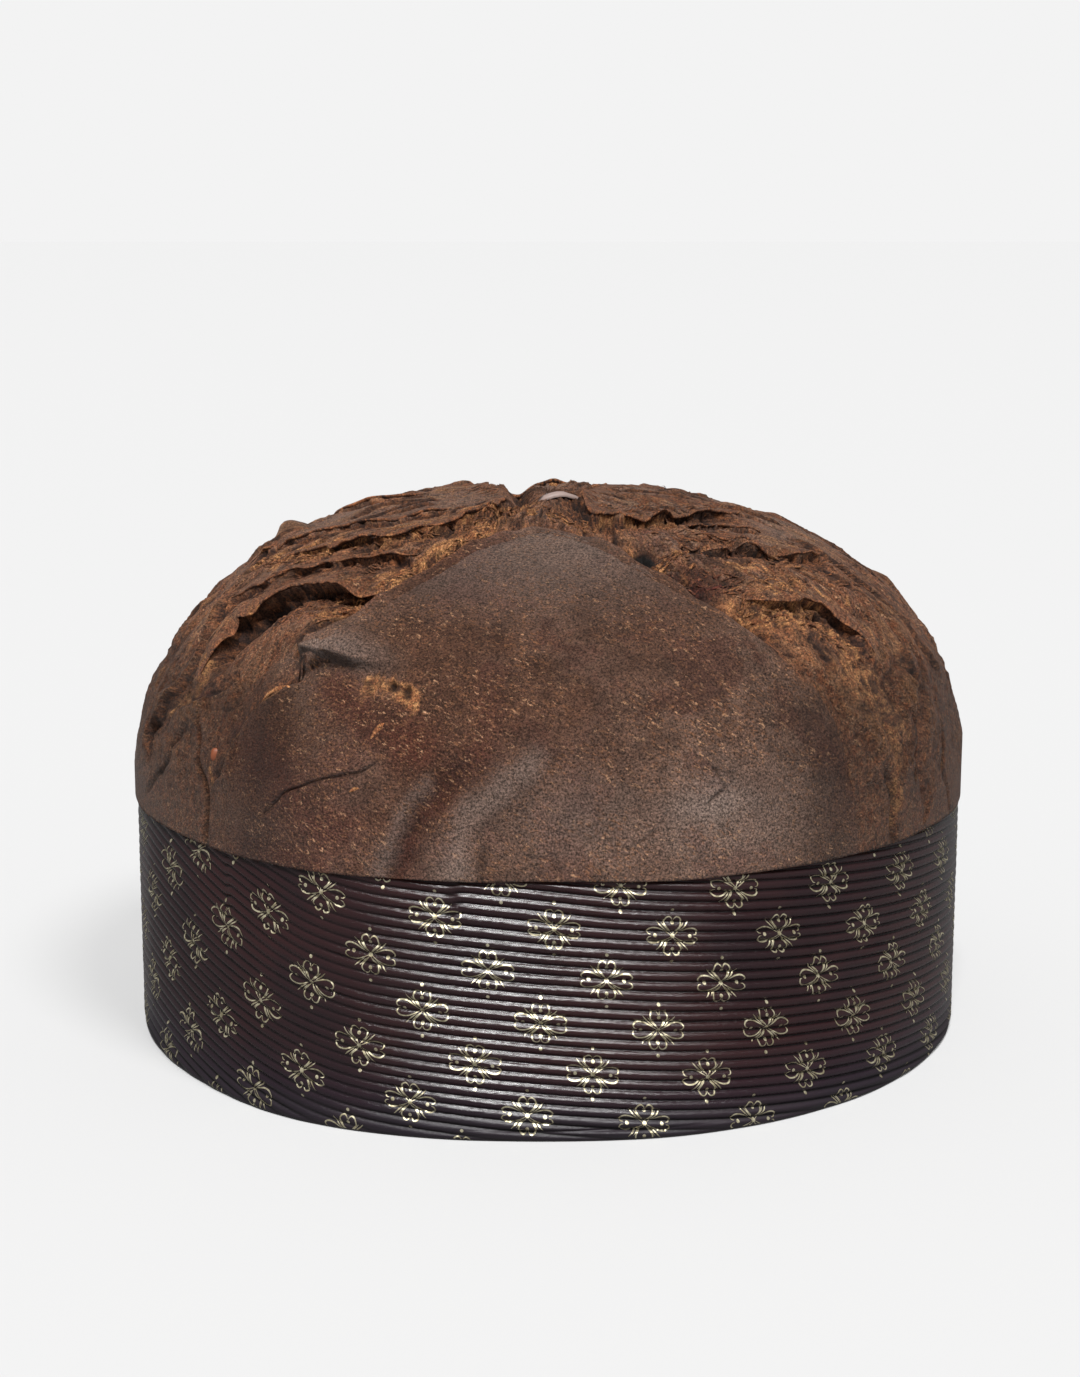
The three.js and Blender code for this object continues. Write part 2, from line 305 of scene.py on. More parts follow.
# %% Tears seen from above: a place is x and y
BIG_TEARS = {
    "front": tear(1.2, 4.8, 9, (57, -76), (48, -74), (39, -70.5), (25, -64), (14, -55), (5, -49),
                  (-3, -46), (-15, -52), (-24, -60), (-42, -70), (-55, -69), wild=0.5),
    "left": tear(1.1, 2.0, 7, (-68, -26), (-41, -40), (-25, -39), (-12, -27), (-8, -8), (-18, 14),
                 (-36, 40), (-56, 62)),
    "fissure": tear(1.8, 5.6, 4.8, (-82, -50), (-79.4, -47), (-75.8, -43.6), (-68.5, -43.6),
                    (-62, -47.8), (-58, -49.2), (-52.3, -52.2), (-45.5, -59), (-38, -64), wild=0.35),
    "right": tear(1.4, 2.6, 7, (54, 64), (34, 40), (14, 10), (8, -18), (9.5, -31), (17.5, -36.5),
                  (27, -31.5), (37.5, -20.5), (50, -6)),
    "strip": tear(1.0, 1.6, 5, (34, -42), (47, -39), (60, -33), (70, -24)),
    "arc": tear(1.4, 2.4, 8, (44, -63), (51, -63), (57, -58), (63, -54.5), (70, -53), (77, -56),
                wild=0.6),
    "back": tear(1.2, 4.4, 9, (-62, 70), (-40, 62), (-16, 48), (4, 38), (20, 48), (36, 62), (60, 70)),
}
SMALL_TEARS = {
    "slit_1": tear(0.6, 2.4, 2.5, (32, -36), (38, -32), (48, -24), (53, -22)),
    "slit_2": tear(0.6, 2.6, 2.5, (36, -47), (42, -44), (50, -37), (57, -36)),
    "slit_3": tear(0.5, 2.6, 2.2, (56, -24), (62, -21), (68, -22), (72, -27)),
    "layer_1": tear(0.9, 1.8, 5, (-80, -30), (-62, -40), (-44, -48), (-30, -52)),
    "layer_2": tear(0.8, 1.6, 5, (-76, -6), (-56, -20), (-36, -26), (-22, -24)),
    "layer_3": tear(0.8, 1.6, 5, (64, 20), (48, 2), (30, -8), (16, -12)),
    "layer_4": tear(0.8, 1.6, 5, (-70, 34), (-50, 22), (-30, 12)),
    "layer_5": tear(0.8, 1.6, 5, (30, 66), (44, 52), (50, 34), (60, 24)),
    "layer_6": tear(0.9, 1.6, 4, (78, -36), (66, -44), (52, -48), (44, -50)),
}
print(len(BIG_TEARS), "big tears and", len(SMALL_TEARS), "small ones")

# %% Lumps, crevices, golden crumb and the flap's left corner
LUMPS = [
    lump(14.6, -47.5, -4.0, 3.0, dark=1.0),
    lump(23.6, -53.0, -5.0, 4.0, dark=1.0, red=1.0),
    lump(35, -59.5, -4.2, 8, dark=0.5, red=1.3),
    lump(30, -57, -2.5, 2.6, dark=1.0),
    lump(38.5, -66.5, -3.0, 3.2, dark=1.0),
    lump(43, -57, -1.5, 2.2, dark=0.8),
    lump(25, -45, 1.8, 6, red=1.0),
    lump(58, -64, 2.2, 9),
    lump(-65, 5, 3.8, 3.6),
    lump(-60, 5, -1.8, 2.2),
    lump(87, 9, 1.5, 7),
    lump(80, 10, -1.2, 2.6),
    lump(2, -12, 1.0, 9),
    lump(-38, -83, -1.2, 8),
    lump(72, 30, 1.4, 12),
    lump(-60, 34, -1.4, 10),
    lump(-74.5, -48.2, -4.5, 3.4, dark=1.0),
    lump(-69, -48.4, -5.5, 4.2, dark=1.0),
    lump(-63, -52.2, -4.5, 3.4, dark=1.0),
    lump(-33, -87.6, 1.1, 4.5),
    lump(-34.2, -86.9, -2.4, 1.1, dark=0.65),
    lump(-31.2, -88.7, -2.2, 1.2, dark=0.65),
    lump(-38, -61, 1.8, 5),
    lump(-60, -74, 0.8, 6),
    lump(46, 44, -3.0, 5, dark=0.8),
    lump(-20, 50, -3.5, 6, dark=0.8),
]
# Each crevice also gets painted shade along it.
CREVICES = [
    stroke(2.6, (-8, -24), (-7.5, -4), (-8, 20), (-8, 46), (-9, 76), depth=4.4),
    stroke(2.0, (2, -44), (13, -50), (22, -57), (29, -62.5), (37, -68), depth=3.0),
    stroke(0.9, (-30, -34), (-18, -30), (-10, -22), depth=1.6),
    stroke(1.0, (-62, -27), (-48, -32), (-36, -35), depth=1.8),
    stroke(0.9, (20, -35), (30, -28), (38, -18), depth=1.6),
    stroke(1.2, (36, -34.5), (41, -31), (46, -26), depth=2.0),
    stroke(1.0, (44, -40), (52, -38), (58, -33), depth=1.8),
    stroke(1.0, (30, -48), (36, -46), (44, -45), depth=1.6),
    stroke(0.9, (-44, -44), (-36, -45), (-28, -43), depth=1.6),
    stroke(1.2, (40, 40), (56, 34), (70, 20), depth=1.8),
    stroke(1.2, (-70, 24), (-52, 34), (-36, 52), depth=1.8),
]
GOLDEN = [
    stroke(6.0, (-47, -64), (-38, -61), (-29, -57)),
    stroke(4.0, (-29, -57), (-24, -50), (-17, -42), (-7, -26)),
    stroke(4.0, (-74, -14), (-65, -27), (-53, -33), (-41, -38), (-25, -37), (-15, -29), (-6, -17)),
    stroke(3.0, (6, -46), (12, -48), (19, -52), (27, -57), (33, -62)),
    stroke(6.0, (48, -66), (58, -61), (66, -60), (72, -61)),
    stroke(3.0, (44, -50), (58, -50), (70, -46)),
    stroke(2.0, (-39.5, -84.5), (-34.2, -87), (-29.6, -90)),
    stroke(3.0, (14, -34), (22, -36), (30, -34)),
    stroke(4.0, (-54, 60), (-36, 46), (-20, 24)),
    stroke(4.5, (50, 70), (30, 50), (16, 40), (0, 40)),
]
# The beak gets painted shade on the face under its fold and a painted sheen along its ridge.
BEAK = stroke(7.0, (-54.8, -69.8), (-50, -73.4), (-45.5, -76.8), (-41, -79.8), (-36, -82.4),
              (-30, -84.5), height=3.8, below=1.5)
print(len(LUMPS), "lumps and holes,", len(CREVICES), "crevices")

# %% Marks on the side: a place is a distance round from the front, on one radius, and a height
SIDE_RADIUS = 100.0
SIDE_TEARS = {
    "strip_left": tear(1.3, 1.8, 5, (-126, 74), (-121, 82), (-115, 90), (-113, 97), (-117, 105),
                       (-126, 112)),
    "fold_left": tear(0.9, 1.3, 4, (-84, 97), (-87.5, 95), (-96, 91.5), (-113, 86)),
    "fleck_edge": tear(0.8, 0.8, 3, (-60, 99), (-65, 97.3), (-71, 94), (-75.5, 90), (-77, 84),
                       (-79, 77), (-83, 73)),
    "side_right": tear(1.0, 1.4, 5, (99, 60), (97, 74), (100, 88), (112, 98)),
    "back_left": tear(1.2, 1.8, 5, (-190, 64), (-184, 78), (-194, 92), (-214, 104)),
    "back_right": tear(1.2, 1.8, 5, (190, 104), (184, 90), (196, 76), (214, 64)),
}
GOLDEN_SIDE = [
    stroke(7.0, (84, 99), (88, 91), (90, 84)),
    stroke(2.6, (90, 84), (88, 76), (86, 66)),
    stroke(2.2, (-104, 100), (-102, 94), (-106, 90), (-112, 87)),
    stroke(1.0, (-66, 97), (-74, 92), (-78, 84)),
    stroke(0.8, (-84, 80), (-83, 74)),
    stroke(4.0, (210, 88), (204, 70)),
    stroke(4.0, (-222, 90), (-212, 70)),
]
# A fold's dark is painted shade in it; a ridge's sheen is gloss and a painted sheen on it.
SIDE_FOLDS = [
    stroke(0.35, (-34, 85.5), (-44.5, 82), (-52.7, 79.6), (-58, 76.4), (-67, 69), depth=0.9, dark=0.65),
    stroke(0.8, (-83, 56), (-84.5, 67), (-86.5, 75), (-92, 84), (-96, 92), depth=1.0, dark=0.45),
    stroke(0.8, (-43, 70), (-39, 60), depth=0.8),
    stroke(3.4, (-15, 88), (-26, 76), (-33, 62), (-34, 56), depth=1.9, dark=0.3),
    stroke(1.8, (-23, 84), (-30, 75.7), (-35.5, 62), (-37, 56), depth=-1.2, sheen=0.7),
    stroke(4.5, (2.3, 90), (-8.3, 82.4), (-16.5, 73.7), (-20, 64), (-21, 56), depth=-1.5, sheen=0.9),
    stroke(0.9, (-12, 70), (-15, 60), (-16, 56), depth=1.1, dark=0.3),
    stroke(1.1, (0, 67), (2.2, 60), (2.5, 56), depth=0.8, dark=0.2),
    stroke(6.0, (24, 84), (38, 80), (52, 74), depth=-1.3),
    stroke(3.5, (16, 86), (13, 75), (8, 62), (7, 56), depth=0.9),
    stroke(0.3, (34, 84.5), (36, 81.5), (37, 78.8), (33, 76), depth=0.6, dark=0.5),
    stroke(0.3, (33, 83.5), (38.5, 82.5), (42, 83), depth=0.5, dark=0.4),
    stroke(0.35, (26, 77), (21, 71), (19, 66), depth=0.5, dark=0.3),
    stroke(1.4, (87, 56), (86, 68), (84, 80), depth=1.4, dark=0.5),
    stroke(0.8, (94, 70), (100, 84), (108, 92), depth=1.2, dark=0.6),
    stroke(0.9, (-120, 64), (-104, 76), (-98, 90), depth=0.9, dark=0.5),
    stroke(0.9, (120, 58), (112, 72), (118, 84), depth=0.9, dark=0.5),
    stroke(1.0, (200, 60), (208, 74), (230, 84), depth=1.0, dark=0.5),
    stroke(1.0, (-230, 60), (-215, 72), (-206, 88), depth=1.0, dark=0.5),
]
REDDISH = [
    stroke(4.0, (-15, 88), (-26, 76), (-33, 62)),
    stroke(6.0, (-52, 100), (-40, 92), (-28, 88)),
    stroke(9.0, (-100, 92), (-66, 82), (-46, 70)),
    stroke(6.0, (66, 84), (74, 74), (80, 62)),
    stroke(7.0, (94, 98), (99, 82), (102, 64)),
    stroke(5.0, (-90, 66), (-70, 62), (-50, 62)),
    stroke(8.0, (150, 70), (170, 84)),
    stroke(8.0, (-160, 74), (-190, 90)),
]
# Each patch of gloss and painted sheen, a lighter grey that stands in for a highlight: its place and its
# size round the side and upwards, and its strength.
GLOSS_AND_PAINTED_SHEENS = [
    (38, 73, 24.0, 11.0, 0.65),
    (35, 76, 12.0, 6.0, 1.3),
    (4, 75, 20.0, 13.0, 0.55),
    (-92, 116, 24.0, 5.0, 1.0),
    (190, 68, 40.0, 9.0, 1.0),
    (-150, 68, 40.0, 9.0, 1.0),
]
print(len(SIDE_TEARS), "tears and", len(SIDE_FOLDS), "folds on the side")

# %% Nearest place on a path
def place_on_path(path, x, y):
    """Signed distance in mm (plus on the skin's side) and place along a path from 0 to 1, for arrays:
    the nearest of the nearest points on each straight stretch."""
    best = np.full(np.shape(x), np.inf)
    side = np.zeros_like(best)
    along = np.zeros_like(best)
    for i, (start, end) in enumerate(zip(path[:-1], path[1:], strict=True)):
        step = end - start
        to_x, to_y = x - start[0], y - start[1]
        share = np.clip((to_x * step[0] + to_y * step[1]) / (step @ step), 0.0, 1.0)
        distance = np.hypot(to_x - share * step[0], to_y - share * step[1])
        nearer = distance < best
        best = np.where(nearer, distance, best)
        side = np.where(nearer, np.sign(step[0] * to_y - step[1] * to_x), side)
        along = np.where(nearer, (i + share) / (len(path) - 1), along)
    return best * side, along


def strongest(strokes, x, y):
    """The highest of the bells across some strokes: 1 on a path, falling to 1/e at its reach."""
    best = np.zeros(np.shape(x))
    for one in strokes:
        distance, _ = place_on_path(one["path"], x, y)
        best = np.maximum(best, hump(distance, one["reach"]))
    return best


def path_length(path):
    """The summed lengths of a path's straight stretches."""
    return float(np.linalg.norm(np.diff(path, axis=0), axis=1).sum())


print(f"the front tear is {path_length(BIG_TEARS['front']['path']):.0f} mm long")

# %% [markdown]
# ## Relief of the crust
# The relief is a height in mm along lines from the loaf's heart. Skin gets slow waves and fine leather
# grain. Torn crumb gets crags: ridged noise that is stretched along the tear, in two sizes, so that it
# reads as layers and fibres of bread that were pulled apart. The flanks, where the skin is thin, get
# layers, folds and bark. The paths are bent by noise first, because no tear runs straight. The same
# sums also give the masks that the material reads: how torn, golden or red each point is, where painted
# shade darkens it, and where a painted highlight or a painted sheen lightens it.

# %% Bending and flow
BENDS = [(14, 1.8), (6, 1.0), (2.8, 0.3)]
FLOW_START = 42.0
FLOW_SHARE = 0.25
SHOULDER = 102.0


def bend(x, y, z):
    """Pushes points sideways by noise of three sizes, so that what follows runs unevenly."""
    push_x, push_y = 0.0, 0.0
    for seed, (size, reach) in enumerate(BENDS):
        push_x = push_x + reach * noise(x, y, z, size, 2 * seed + 1)
        push_y = push_y + reach * noise(x, y, z, size, 2 * seed + 2)
    return x + push_x, y + push_y


def flow_of(x, y, z):
    """Coordinates whose noise is drawn out along lines from the crown: the distance from the crown's
    axis counts for a quarter, so lumps come out four times as long as wide. Height counts for a quarter
    too, and for more below the shoulder, where the crust is less drawn out."""
    radius = np.hypot(x, y)
    squeezed = (FLOW_START + FLOW_SHARE * radius) / np.maximum(radius, 6.0)
    return x * squeezed, y * squeezed, FLOW_SHARE * z + 0.45 * np.minimum(z - SHOULDER, 0.0)


print("80 mm out, the noise is read at", [float(v) for v in flow_of(80.0, 0.0, SHOULDER)])

# %% Relief round one tear
LEDGES = [(0.45, 0.0), (0.3, 1.3), (0.25, 2.8)]


def tear_relief(one, x, y, z, seed):
    """Height, how torn the crust is, and how strong the painted shade in its gap is, round one tear: three
    ledges down across the path, each with its own wavy edge, with skin that falls away from them as a
    bell and crumb that rises from them as a bell."""
    distance, along = place_on_path(one["path"], x, y)
    whole = smooth(along, 0.0, 0.15) * smooth(along, 1.0, 0.85)
    run = along * path_length(one["path"])
    wide = min(one["drop"] / 4.0, 1.0)
    skin = 0.0
    for ledge, (share, out) in enumerate(LEDGES):
        wavy = wide * (out + 0.9 * out * noise(run, 31.0 * ledge, 0.2 * z, 5.0, seed))
        skin = skin + share * smooth(distance + wavy, -0.35, 0.35)
    whole_skin = smooth(distance, -0.35, 0.35)
    near = hump(distance, one["reach"]) * whole
    torn = (1.0 - whole_skin) * hump(distance, 1.2 * one["reach"]) * smooth(whole, 0.0, 0.4)
    crags = ridges(run / 3.2, distance, 0.3 * z, 3.0, seed)
    crags = crags + 0.6 * ridges(run / 4.0, distance, 0.3 * z, 1.4, seed + 1)
    depth = min(0.5 * one["drop"], 1.7)
    height = near * (whole_skin * one["rise"] - (1.0 - skin) * one["drop"]) + torn * crags * depth
    # Painted shade in the gap under the skin's edge.
    under = (1.0 - skin) * hump(distance + 1.6 * wide, 0.2 * one["reach"] + 0.4) * whole
    sunk = under * min(one["drop"] / 3.5, 1.0)
    return height, torn, sunk, distance


trial = tear_relief(BIG_TEARS["front"], np.array([5.0, 5.0]), np.array([-55.0, -45.0]), 130.0, 20)
print("height of the flap and of the crumb at the front tear:", trial[0].round(1), "mm")

# %% Layers of the flanks
LAYER_RADIUS = 62.0
LAYER_PITCH = 8.5
LAYER_SHARE = 0.93
LAYER_EDGE = 0.97


def layer_relief(x, y, z):
    """Torn layers on the flanks: a saw tooth of the angle from the front, bent by noise. Each tooth
    rises slowly away from the back and drops steeply towards the front, and comes and goes."""
    turn = np.abs(np.arctan2(x, -y)) * LAYER_RADIUS
    phase = (-turn + 5.0 * noise(x, y, z, 24, 90) + 1.6 * noise(x, y, z, 7, 91)) / LAYER_PITCH
    share = phase - np.floor(phase)
    tooth = np.minimum(share / LAYER_SHARE, (1.0 - share) / (1.0 - LAYER_SHARE))
    shown = smooth(noise(x, y, z, 17, 92), -0.15, 0.3)
    off = np.abs(share - LAYER_EDGE)
    return tooth * shown, hump(np.minimum(off, 1.0 - off), 0.07) * shown


print(f"up to {np.pi * LAYER_RADIUS / LAYER_PITCH:.0f} layers on each flank")

# %% Relief and masks of the whole crust
# Masks that the material reads. Some are painted light: painted shade in gaps, lows, creases and on the
# sides, a painted highlight on crests, and a painted sheen that goes with real gloss. The low mask is also
# a random darkening of strands. The rest are the crust's own colour.
MASKS = ("torn", "sunk", "gold", "flap", "low", "red", "sheen", "baked", "high")
WAVE_HEIGHT = 0.45
WAVE_LENGTH = 38.0
CALM = 0.3
FADE = (62.0, 76.0)
WORN_SIDES = 0.85
LAYER_HEIGHT = 1.1
FOLD_HEIGHT = 1.4
PLY_HEIGHT = 0.55
BARK = [(3.0, 0.45, 70), (1.4, 0.3, 71)]
BARK_GRAIN = (0.7, 0.12, 72)
CRUMB = [(3.6, 0.7, 60), (1.7, 0.45, 61)]
CRUMB_GRAIN = (0.9, 0.22, 62)
SKIN = [(22, 0.35, 63), (8, 0.18, 64), (3, 0.08, 65), (1.3, 0.04, 66)]
SWELL_HEIGHT = 0.55
TO_THE_CASE = 0.15


def masks_of(shape, **given):
    """Every mask as an array of one shape: the given ones, and 0 for the rest."""
    return {name: np.zeros(shape) + given.get(name, 0.0) for name in MASKS}


def crust(x, y, z):
    """Relief in mm of the crust at points of the smooth dome, and the masks of its looks.

    The height is a sum: tears, a bell for each lump and across each crevice, the beak, a slow wave of
    sines, layers, folds, bark, crumb and skin. Folds are billows and bark is ridges, both drawn out
    along the flow. Crumb is ridges too, and skin is plain noise. The sum fades out towards the lip.
    Each mask is the highest of the bells and soft steps that set it.
    """
    bent_x, bent_y = bend(x, y, z)
    near_x, near_y = x + CALM * (bent_x - x), y + CALM * (bent_y - y)
    side = SIDE_RADIUS * np.arctan2(bent_x, -bent_y)
    up = z + 1.5 * noise(x, y, z, 7, 93)
    fade = smooth(z, *FADE)
    height, torn, sunk, flap, red = np.zeros((5, *np.shape(x)))

    # Tears, with painted shade in their gaps. The front one bounds the flap of smooth skin, which is worn
    # off at its sides.
    for number, (name, one) in enumerate([*BIG_TEARS.items(), *SMALL_TEARS.items()]):
        at_x, at_y = x + one["wild"] * (bent_x - x), y + one["wild"] * (bent_y - y)
        rise, ripped, deep, distance = tear_relief(one, at_x, at_y, z, 20 + 2 * number)
        height += rise
        torn = np.maximum(torn, ripped)
        sunk = np.maximum(sunk, deep)
        if name == "front":
            flap = smooth(distance, 0.0, 3.0)
    sides = smooth(np.abs(side), 66.0, 86.0) * smooth(np.abs(side), 205.0, 175.0)
    flap = flap * (1.0 - WORN_SIDES * sides)
    flank = 1.0 - flap

    # Lumps, holes, crevices and golden crumb. Holes and crevices get painted shade.
    for one in LUMPS:
        near = hump(np.hypot(near_x - one["x"], near_y - one["y"]), one["radius"])
        height += one["height"] * near
        if one["dark"]:
            torn = np.maximum(torn, near)
            sunk = np.maximum(sunk, one["dark"] * smooth(near, 0.2, 0.8))
        if one["red"]:
            red = np.maximum(red, one["red"] * smooth(near, 0.15, 0.7))
    for one in CREVICES:
        distance, along = place_on_path(one["path"], near_x, near_y)
        near = hump(distance, one["reach"]) * smooth(along, 0.0, 0.2) * smooth(along, 1.0, 0.8)
        height -= one["depth"] * near
        torn = np.maximum(torn, 0.7 * near)
        sunk = np.maximum(sunk, 0.7 * smooth(near, 0.3, 0.9))
    gold = strongest(GOLDEN, near_x, near_y)

    # The beak: the flap's left corner, which folds over a face darkened by painted shade, with gloss and a
    # painted sheen along its ridge.
    distance, along = place_on_path(BEAK["path"], near_x, near_y)
    above, below = hump(distance, BEAK["reach"]), np.clip(1.0 + distance / BEAK["below"], 0.0, 1.0)
    beak = smooth(along, 0.0, 0.03) * smooth(along, 1.0, 0.45)
    height += BEAK["height"] * np.where(distance > 0, above, below) * beak
    face = 4.4 - 4.0 * along
    painted_shade_under_beak = 0.68 * smooth(-distance, 0.0, 0.5) * smooth(-distance, face, face - 1.2) * beak
    beak_ridge_sheen = hump(distance - 1.0, 2.5) * beak
    turn = 2 * np.pi / WAVE_LENGTH
    height += WAVE_HEIGHT * np.sin(turn * (x + z)) * np.cos(turn * (y - 0.6 * z))

    # Layers, folds and bark on the torn flanks, with painted shade along the layers' edges.
    flow = flow_of(bent_x, bent_y, z)
    crown = smooth(np.hypot(x, y), 5.0, 24.0)
    tooth, edge = layer_relief(x, y, z)
    height += LAYER_HEIGHT * flank * (tooth - 0.5) * smooth(z, 80.0, 100.0)
    edge = edge * flank * smooth(z, 80.0, 96.0)
    torn = np.maximum(torn, 0.8 * edge)
    sunk = np.maximum(sunk, 0.55 * edge)
    bark = (summed(ridges, *flow, BARK) + summed(noise, *flow, [BARK_GRAIN])) * crown
    rough = np.clip(0.4 * flank + torn + 0.6 * gold, 0.0, 1.3)
    folds = billows(*flow, 8.0, 73)
    plies = billows(*flow, 3.4, 74)
    folded = flank * smooth(noise(x, y, z, 22, 75), -0.45, 0.15) * smooth(z, 64.0, 88.0) * crown
    height += (FOLD_HEIGHT * (folds - 0.6) + PLY_HEIGHT * (plies - 0.6)) * folded
    # The creases between folds get painted shade through the low mask.
    crease = np.maximum(smooth(folds, 0.2, 0.0), 0.7 * smooth(plies, 0.2, 0.0)) * folded

    # Crumb and skin.
    crumb = summed(ridges, x, y, z, CRUMB) + summed(noise, x, y, z, [CRUMB_GRAIN])
    swell = SWELL_HEIGHT * noise(x, y, 1.3 * z, 30, 67)
    swell = swell * smooth(z, LIP_BOTTOM, 68.0) * smooth(z, 108.0, 88.0)
    height = height * fade + summed(noise, x, y, z, SKIN) * smooth(z, LIP_BOTTOM, 66.0) + swell
    height = height + (bark * rough + 0.8 * crumb * np.maximum(torn, 0.5 * gold) * (1.0 + red)) * fade

    # Tears, golden crumb and folds on the side. The tears and folds get painted shade, and the ridges and
    # patches of sheen get gloss and a painted sheen.
    for number, one in enumerate(SIDE_TEARS.values()):
        rise, ripped, deep, distance = tear_relief(one, side, up, z, 140 + 2 * number)
        height += rise
        torn = np.maximum(torn, ripped)
        sunk = np.maximum(sunk, deep)
    gold = np.maximum(gold, 0.9 * strongest(GOLDEN_SIDE, side, up))
    sheen = beak_ridge_sheen
    for one in SIDE_FOLDS:
        distance, along = place_on_path(one["path"], side, up)
        near = hump(distance, one["reach"]) * smooth(along, 0.0, 0.15) * smooth(along, 1.0, 0.8)
        height -= one["depth"] * near * smooth(z, LIP_BOTTOM - 1, 63.0)
        sunk = np.maximum(sunk, one.get("dark", 0.0) * near)
        sheen = np.maximum(sheen, one.get("sheen", 0.0) * near)
    for at_side, at_up, width, tall, strength in GLOSS_AND_PAINTED_SHEENS:
        reach = np.hypot((side - at_side) / width, (up - at_up) / tall)
        sheen = np.maximum(sheen, strength * hump(reach, 1.0))
    # Painted sheen on the top, which faces the light: a lighter grey from 110 mm up.
    sheen = np.maximum(sheen, 0.75 * smooth(z, 110.0, 127.0))

    # Masks of painted shade in the lows, the creases and on the sides, of a painted highlight on the
    # crests, and the wall of the case as the furthest reach.
    crags = bark * rough + 0.8 * crumb * np.maximum(torn, 0.5 * gold)
    low = np.maximum(smooth(crags, 0.12, -0.35) * fade, 0.9 * crease)
    high = np.maximum(smooth(crags, 0.05, 0.35) * fade, smooth(folds, 0.75, 1.0) * folded) * (1.0 - sunk)
    masks = masks_of(np.shape(x), torn=torn * fade, sunk=np.maximum(sunk, painted_shade_under_beak), gold=gold,
                     flap=flap, low=low, red=np.maximum(red, strongest(REDDISH, side, up)),
                     sheen=sheen * (1.0 - torn), high=high,
                     baked=smooth(np.abs(side), 40.0, 68.0) * smooth(z, 106.0, 92.0))
    furthest = CASE_RADIUS + LIP_OVERHANG - TO_THE_CASE - np.hypot(x - lean(z), y)
    return np.minimum(height, furthest), masks, np.stack(flow, axis=-1)


# %% Points of the crust
def crust_points(degrees, radius, z):
    """Points of the finished crust, their masks and their flow, from points of the smooth dome: each is
    moved by its relief along the line from the heart, and what rises over the crown is pressed."""
    angle = np.radians(degrees)
    x, y = radius * np.sin(angle) + lean(z), -radius * np.cos(angle)
    height, masks, flow = crust(x, y, z)
    factor = roundness(np.degrees(np.arctan2(x, -y)))
    smooth_points = np.stack([x * factor, y * factor, z], axis=-1)
    outward = smooth_points - HEART
    outward /= np.linalg.norm(outward, axis=-1, keepdims=True)
    points = smooth_points + outward * height[..., None]
    points[..., 2] -= CROWN["pressed"] * np.maximum(points[..., 2] - CROWN["from"], 0.0)
    return points, masks, flow


ring = crust_points(np.arange(0.0, 360.0, 5.0), np.full(72, 60.0), np.full(72, 120.0))[0]
print(f"a ring round the dome is {np.ptp(ring[:, 2]):.1f} mm uneven in height")

# %% [markdown]
# ## Materials
# Every colour below is worked out from the photograph and stated as linear red, green and blue.
# Patterns read Object coordinates in metres, so a pattern 2 mm across has a scale of about 500.

# %% Helpers for node materials
def srgb(red, green, blue):
    """Linear colour from the 0 to 255 values that a screen shows."""
    values = np.array([red, green, blue]) / 255.0
    linear = np.where(values <= 0.04045, values / 12.92, ((values + 0.055) / 1.055) ** 2.4)
    return (*(float(v) for v in linear), 1.0)


def add_node(tree, kind, inputs=None, **settings):
    """Adds a node, sets its options, and sets or links each named or numbered input."""
    made = tree.nodes.new(kind)
    for key, value in settings.items():
        setattr(made, key, value)
    for key, value in (inputs or {}).items():
        socket = made.inputs[key]
        if isinstance(value, bpy.types.NodeSocket):
            tree.links.new(value, socket)
        else:
            socket.default_value = value
    return made


def noise_of(tree, vector, scale, detail=4.0, roughness=0.55):
    """Noise from 0 to 1 with about scale lumps to a metre and detail finer layers on them."""
    inputs = {"Vector": vector, "Scale": scale, "Detail": detail, "Roughness": roughness}
    return add_node(tree, "ShaderNodeTexNoise", inputs).outputs["Fac"]


def step_of(tree, value, start, end):
    """A soft step from 0 at start to 1 at end."""
    inputs = {"Value": value, "From Min": start, "From Max": end}
    made = add_node(tree, "ShaderNodeMapRange", inputs, interpolation_type="SMOOTHSTEP")
    return made.outputs["Result"]


def maths(tree, operation, *values):
    """One sum on values and outputs."""
    made = add_node(tree, "ShaderNodeMath", dict(enumerate(values)), operation=operation)
    return made.outputs[0]


def times(tree, value, factor):
    return maths(tree, "MULTIPLY", value, factor)


def blend_of(tree, factor, first, second, kind="MIX"):
    """The first colour where the factor is 0, the second where it is 1."""
    inputs = {0: factor, 6: first, 7: second}
    return add_node(tree, "ShaderNodeMix", inputs, data_type="RGBA", blend_type=kind).outputs[2]


def stretched(tree, vector, turn, scale):
    """The coordinates turned and then scaled, for patterns that are longer one way."""
    inputs = {"Vector": vector, "Rotation": turn, "Scale": scale}
    return add_node(tree, "ShaderNodeMapping", inputs, vector_type="TEXTURE").outputs["Vector"]


def attribute_of(tree, name):
    return add_node(tree, "ShaderNodeAttribute", attribute_name=name).outputs["Fac"]


def new_material(name):
    """An empty material with its tree, its shader and the object coordinates."""
    material = bpy.data.materials.new(name)
    material.use_nodes = True
    tree = material.node_tree
    shader = tree.nodes["Principled BSDF"]
    place = add_node(tree, "ShaderNodeTexCoord").outputs["Object"]
    return material, tree, shader, place


# %% [markdown]
# ### Crust
# Baked cocoa skin is a greyish chocolate brown with a dull sheen, mottled with redder and darker
# patches and sprinkled with small orange specks that all lean the same way. The sheen is real gloss,
# with a lighter grey painted on as a painted sheen. Where it is torn, the crumb is redder and lighter
# and shines less. Painted shade makes deep tears nearly black and darkens the lows, the creases and the
# sides, and a painted highlight lightens the crests.

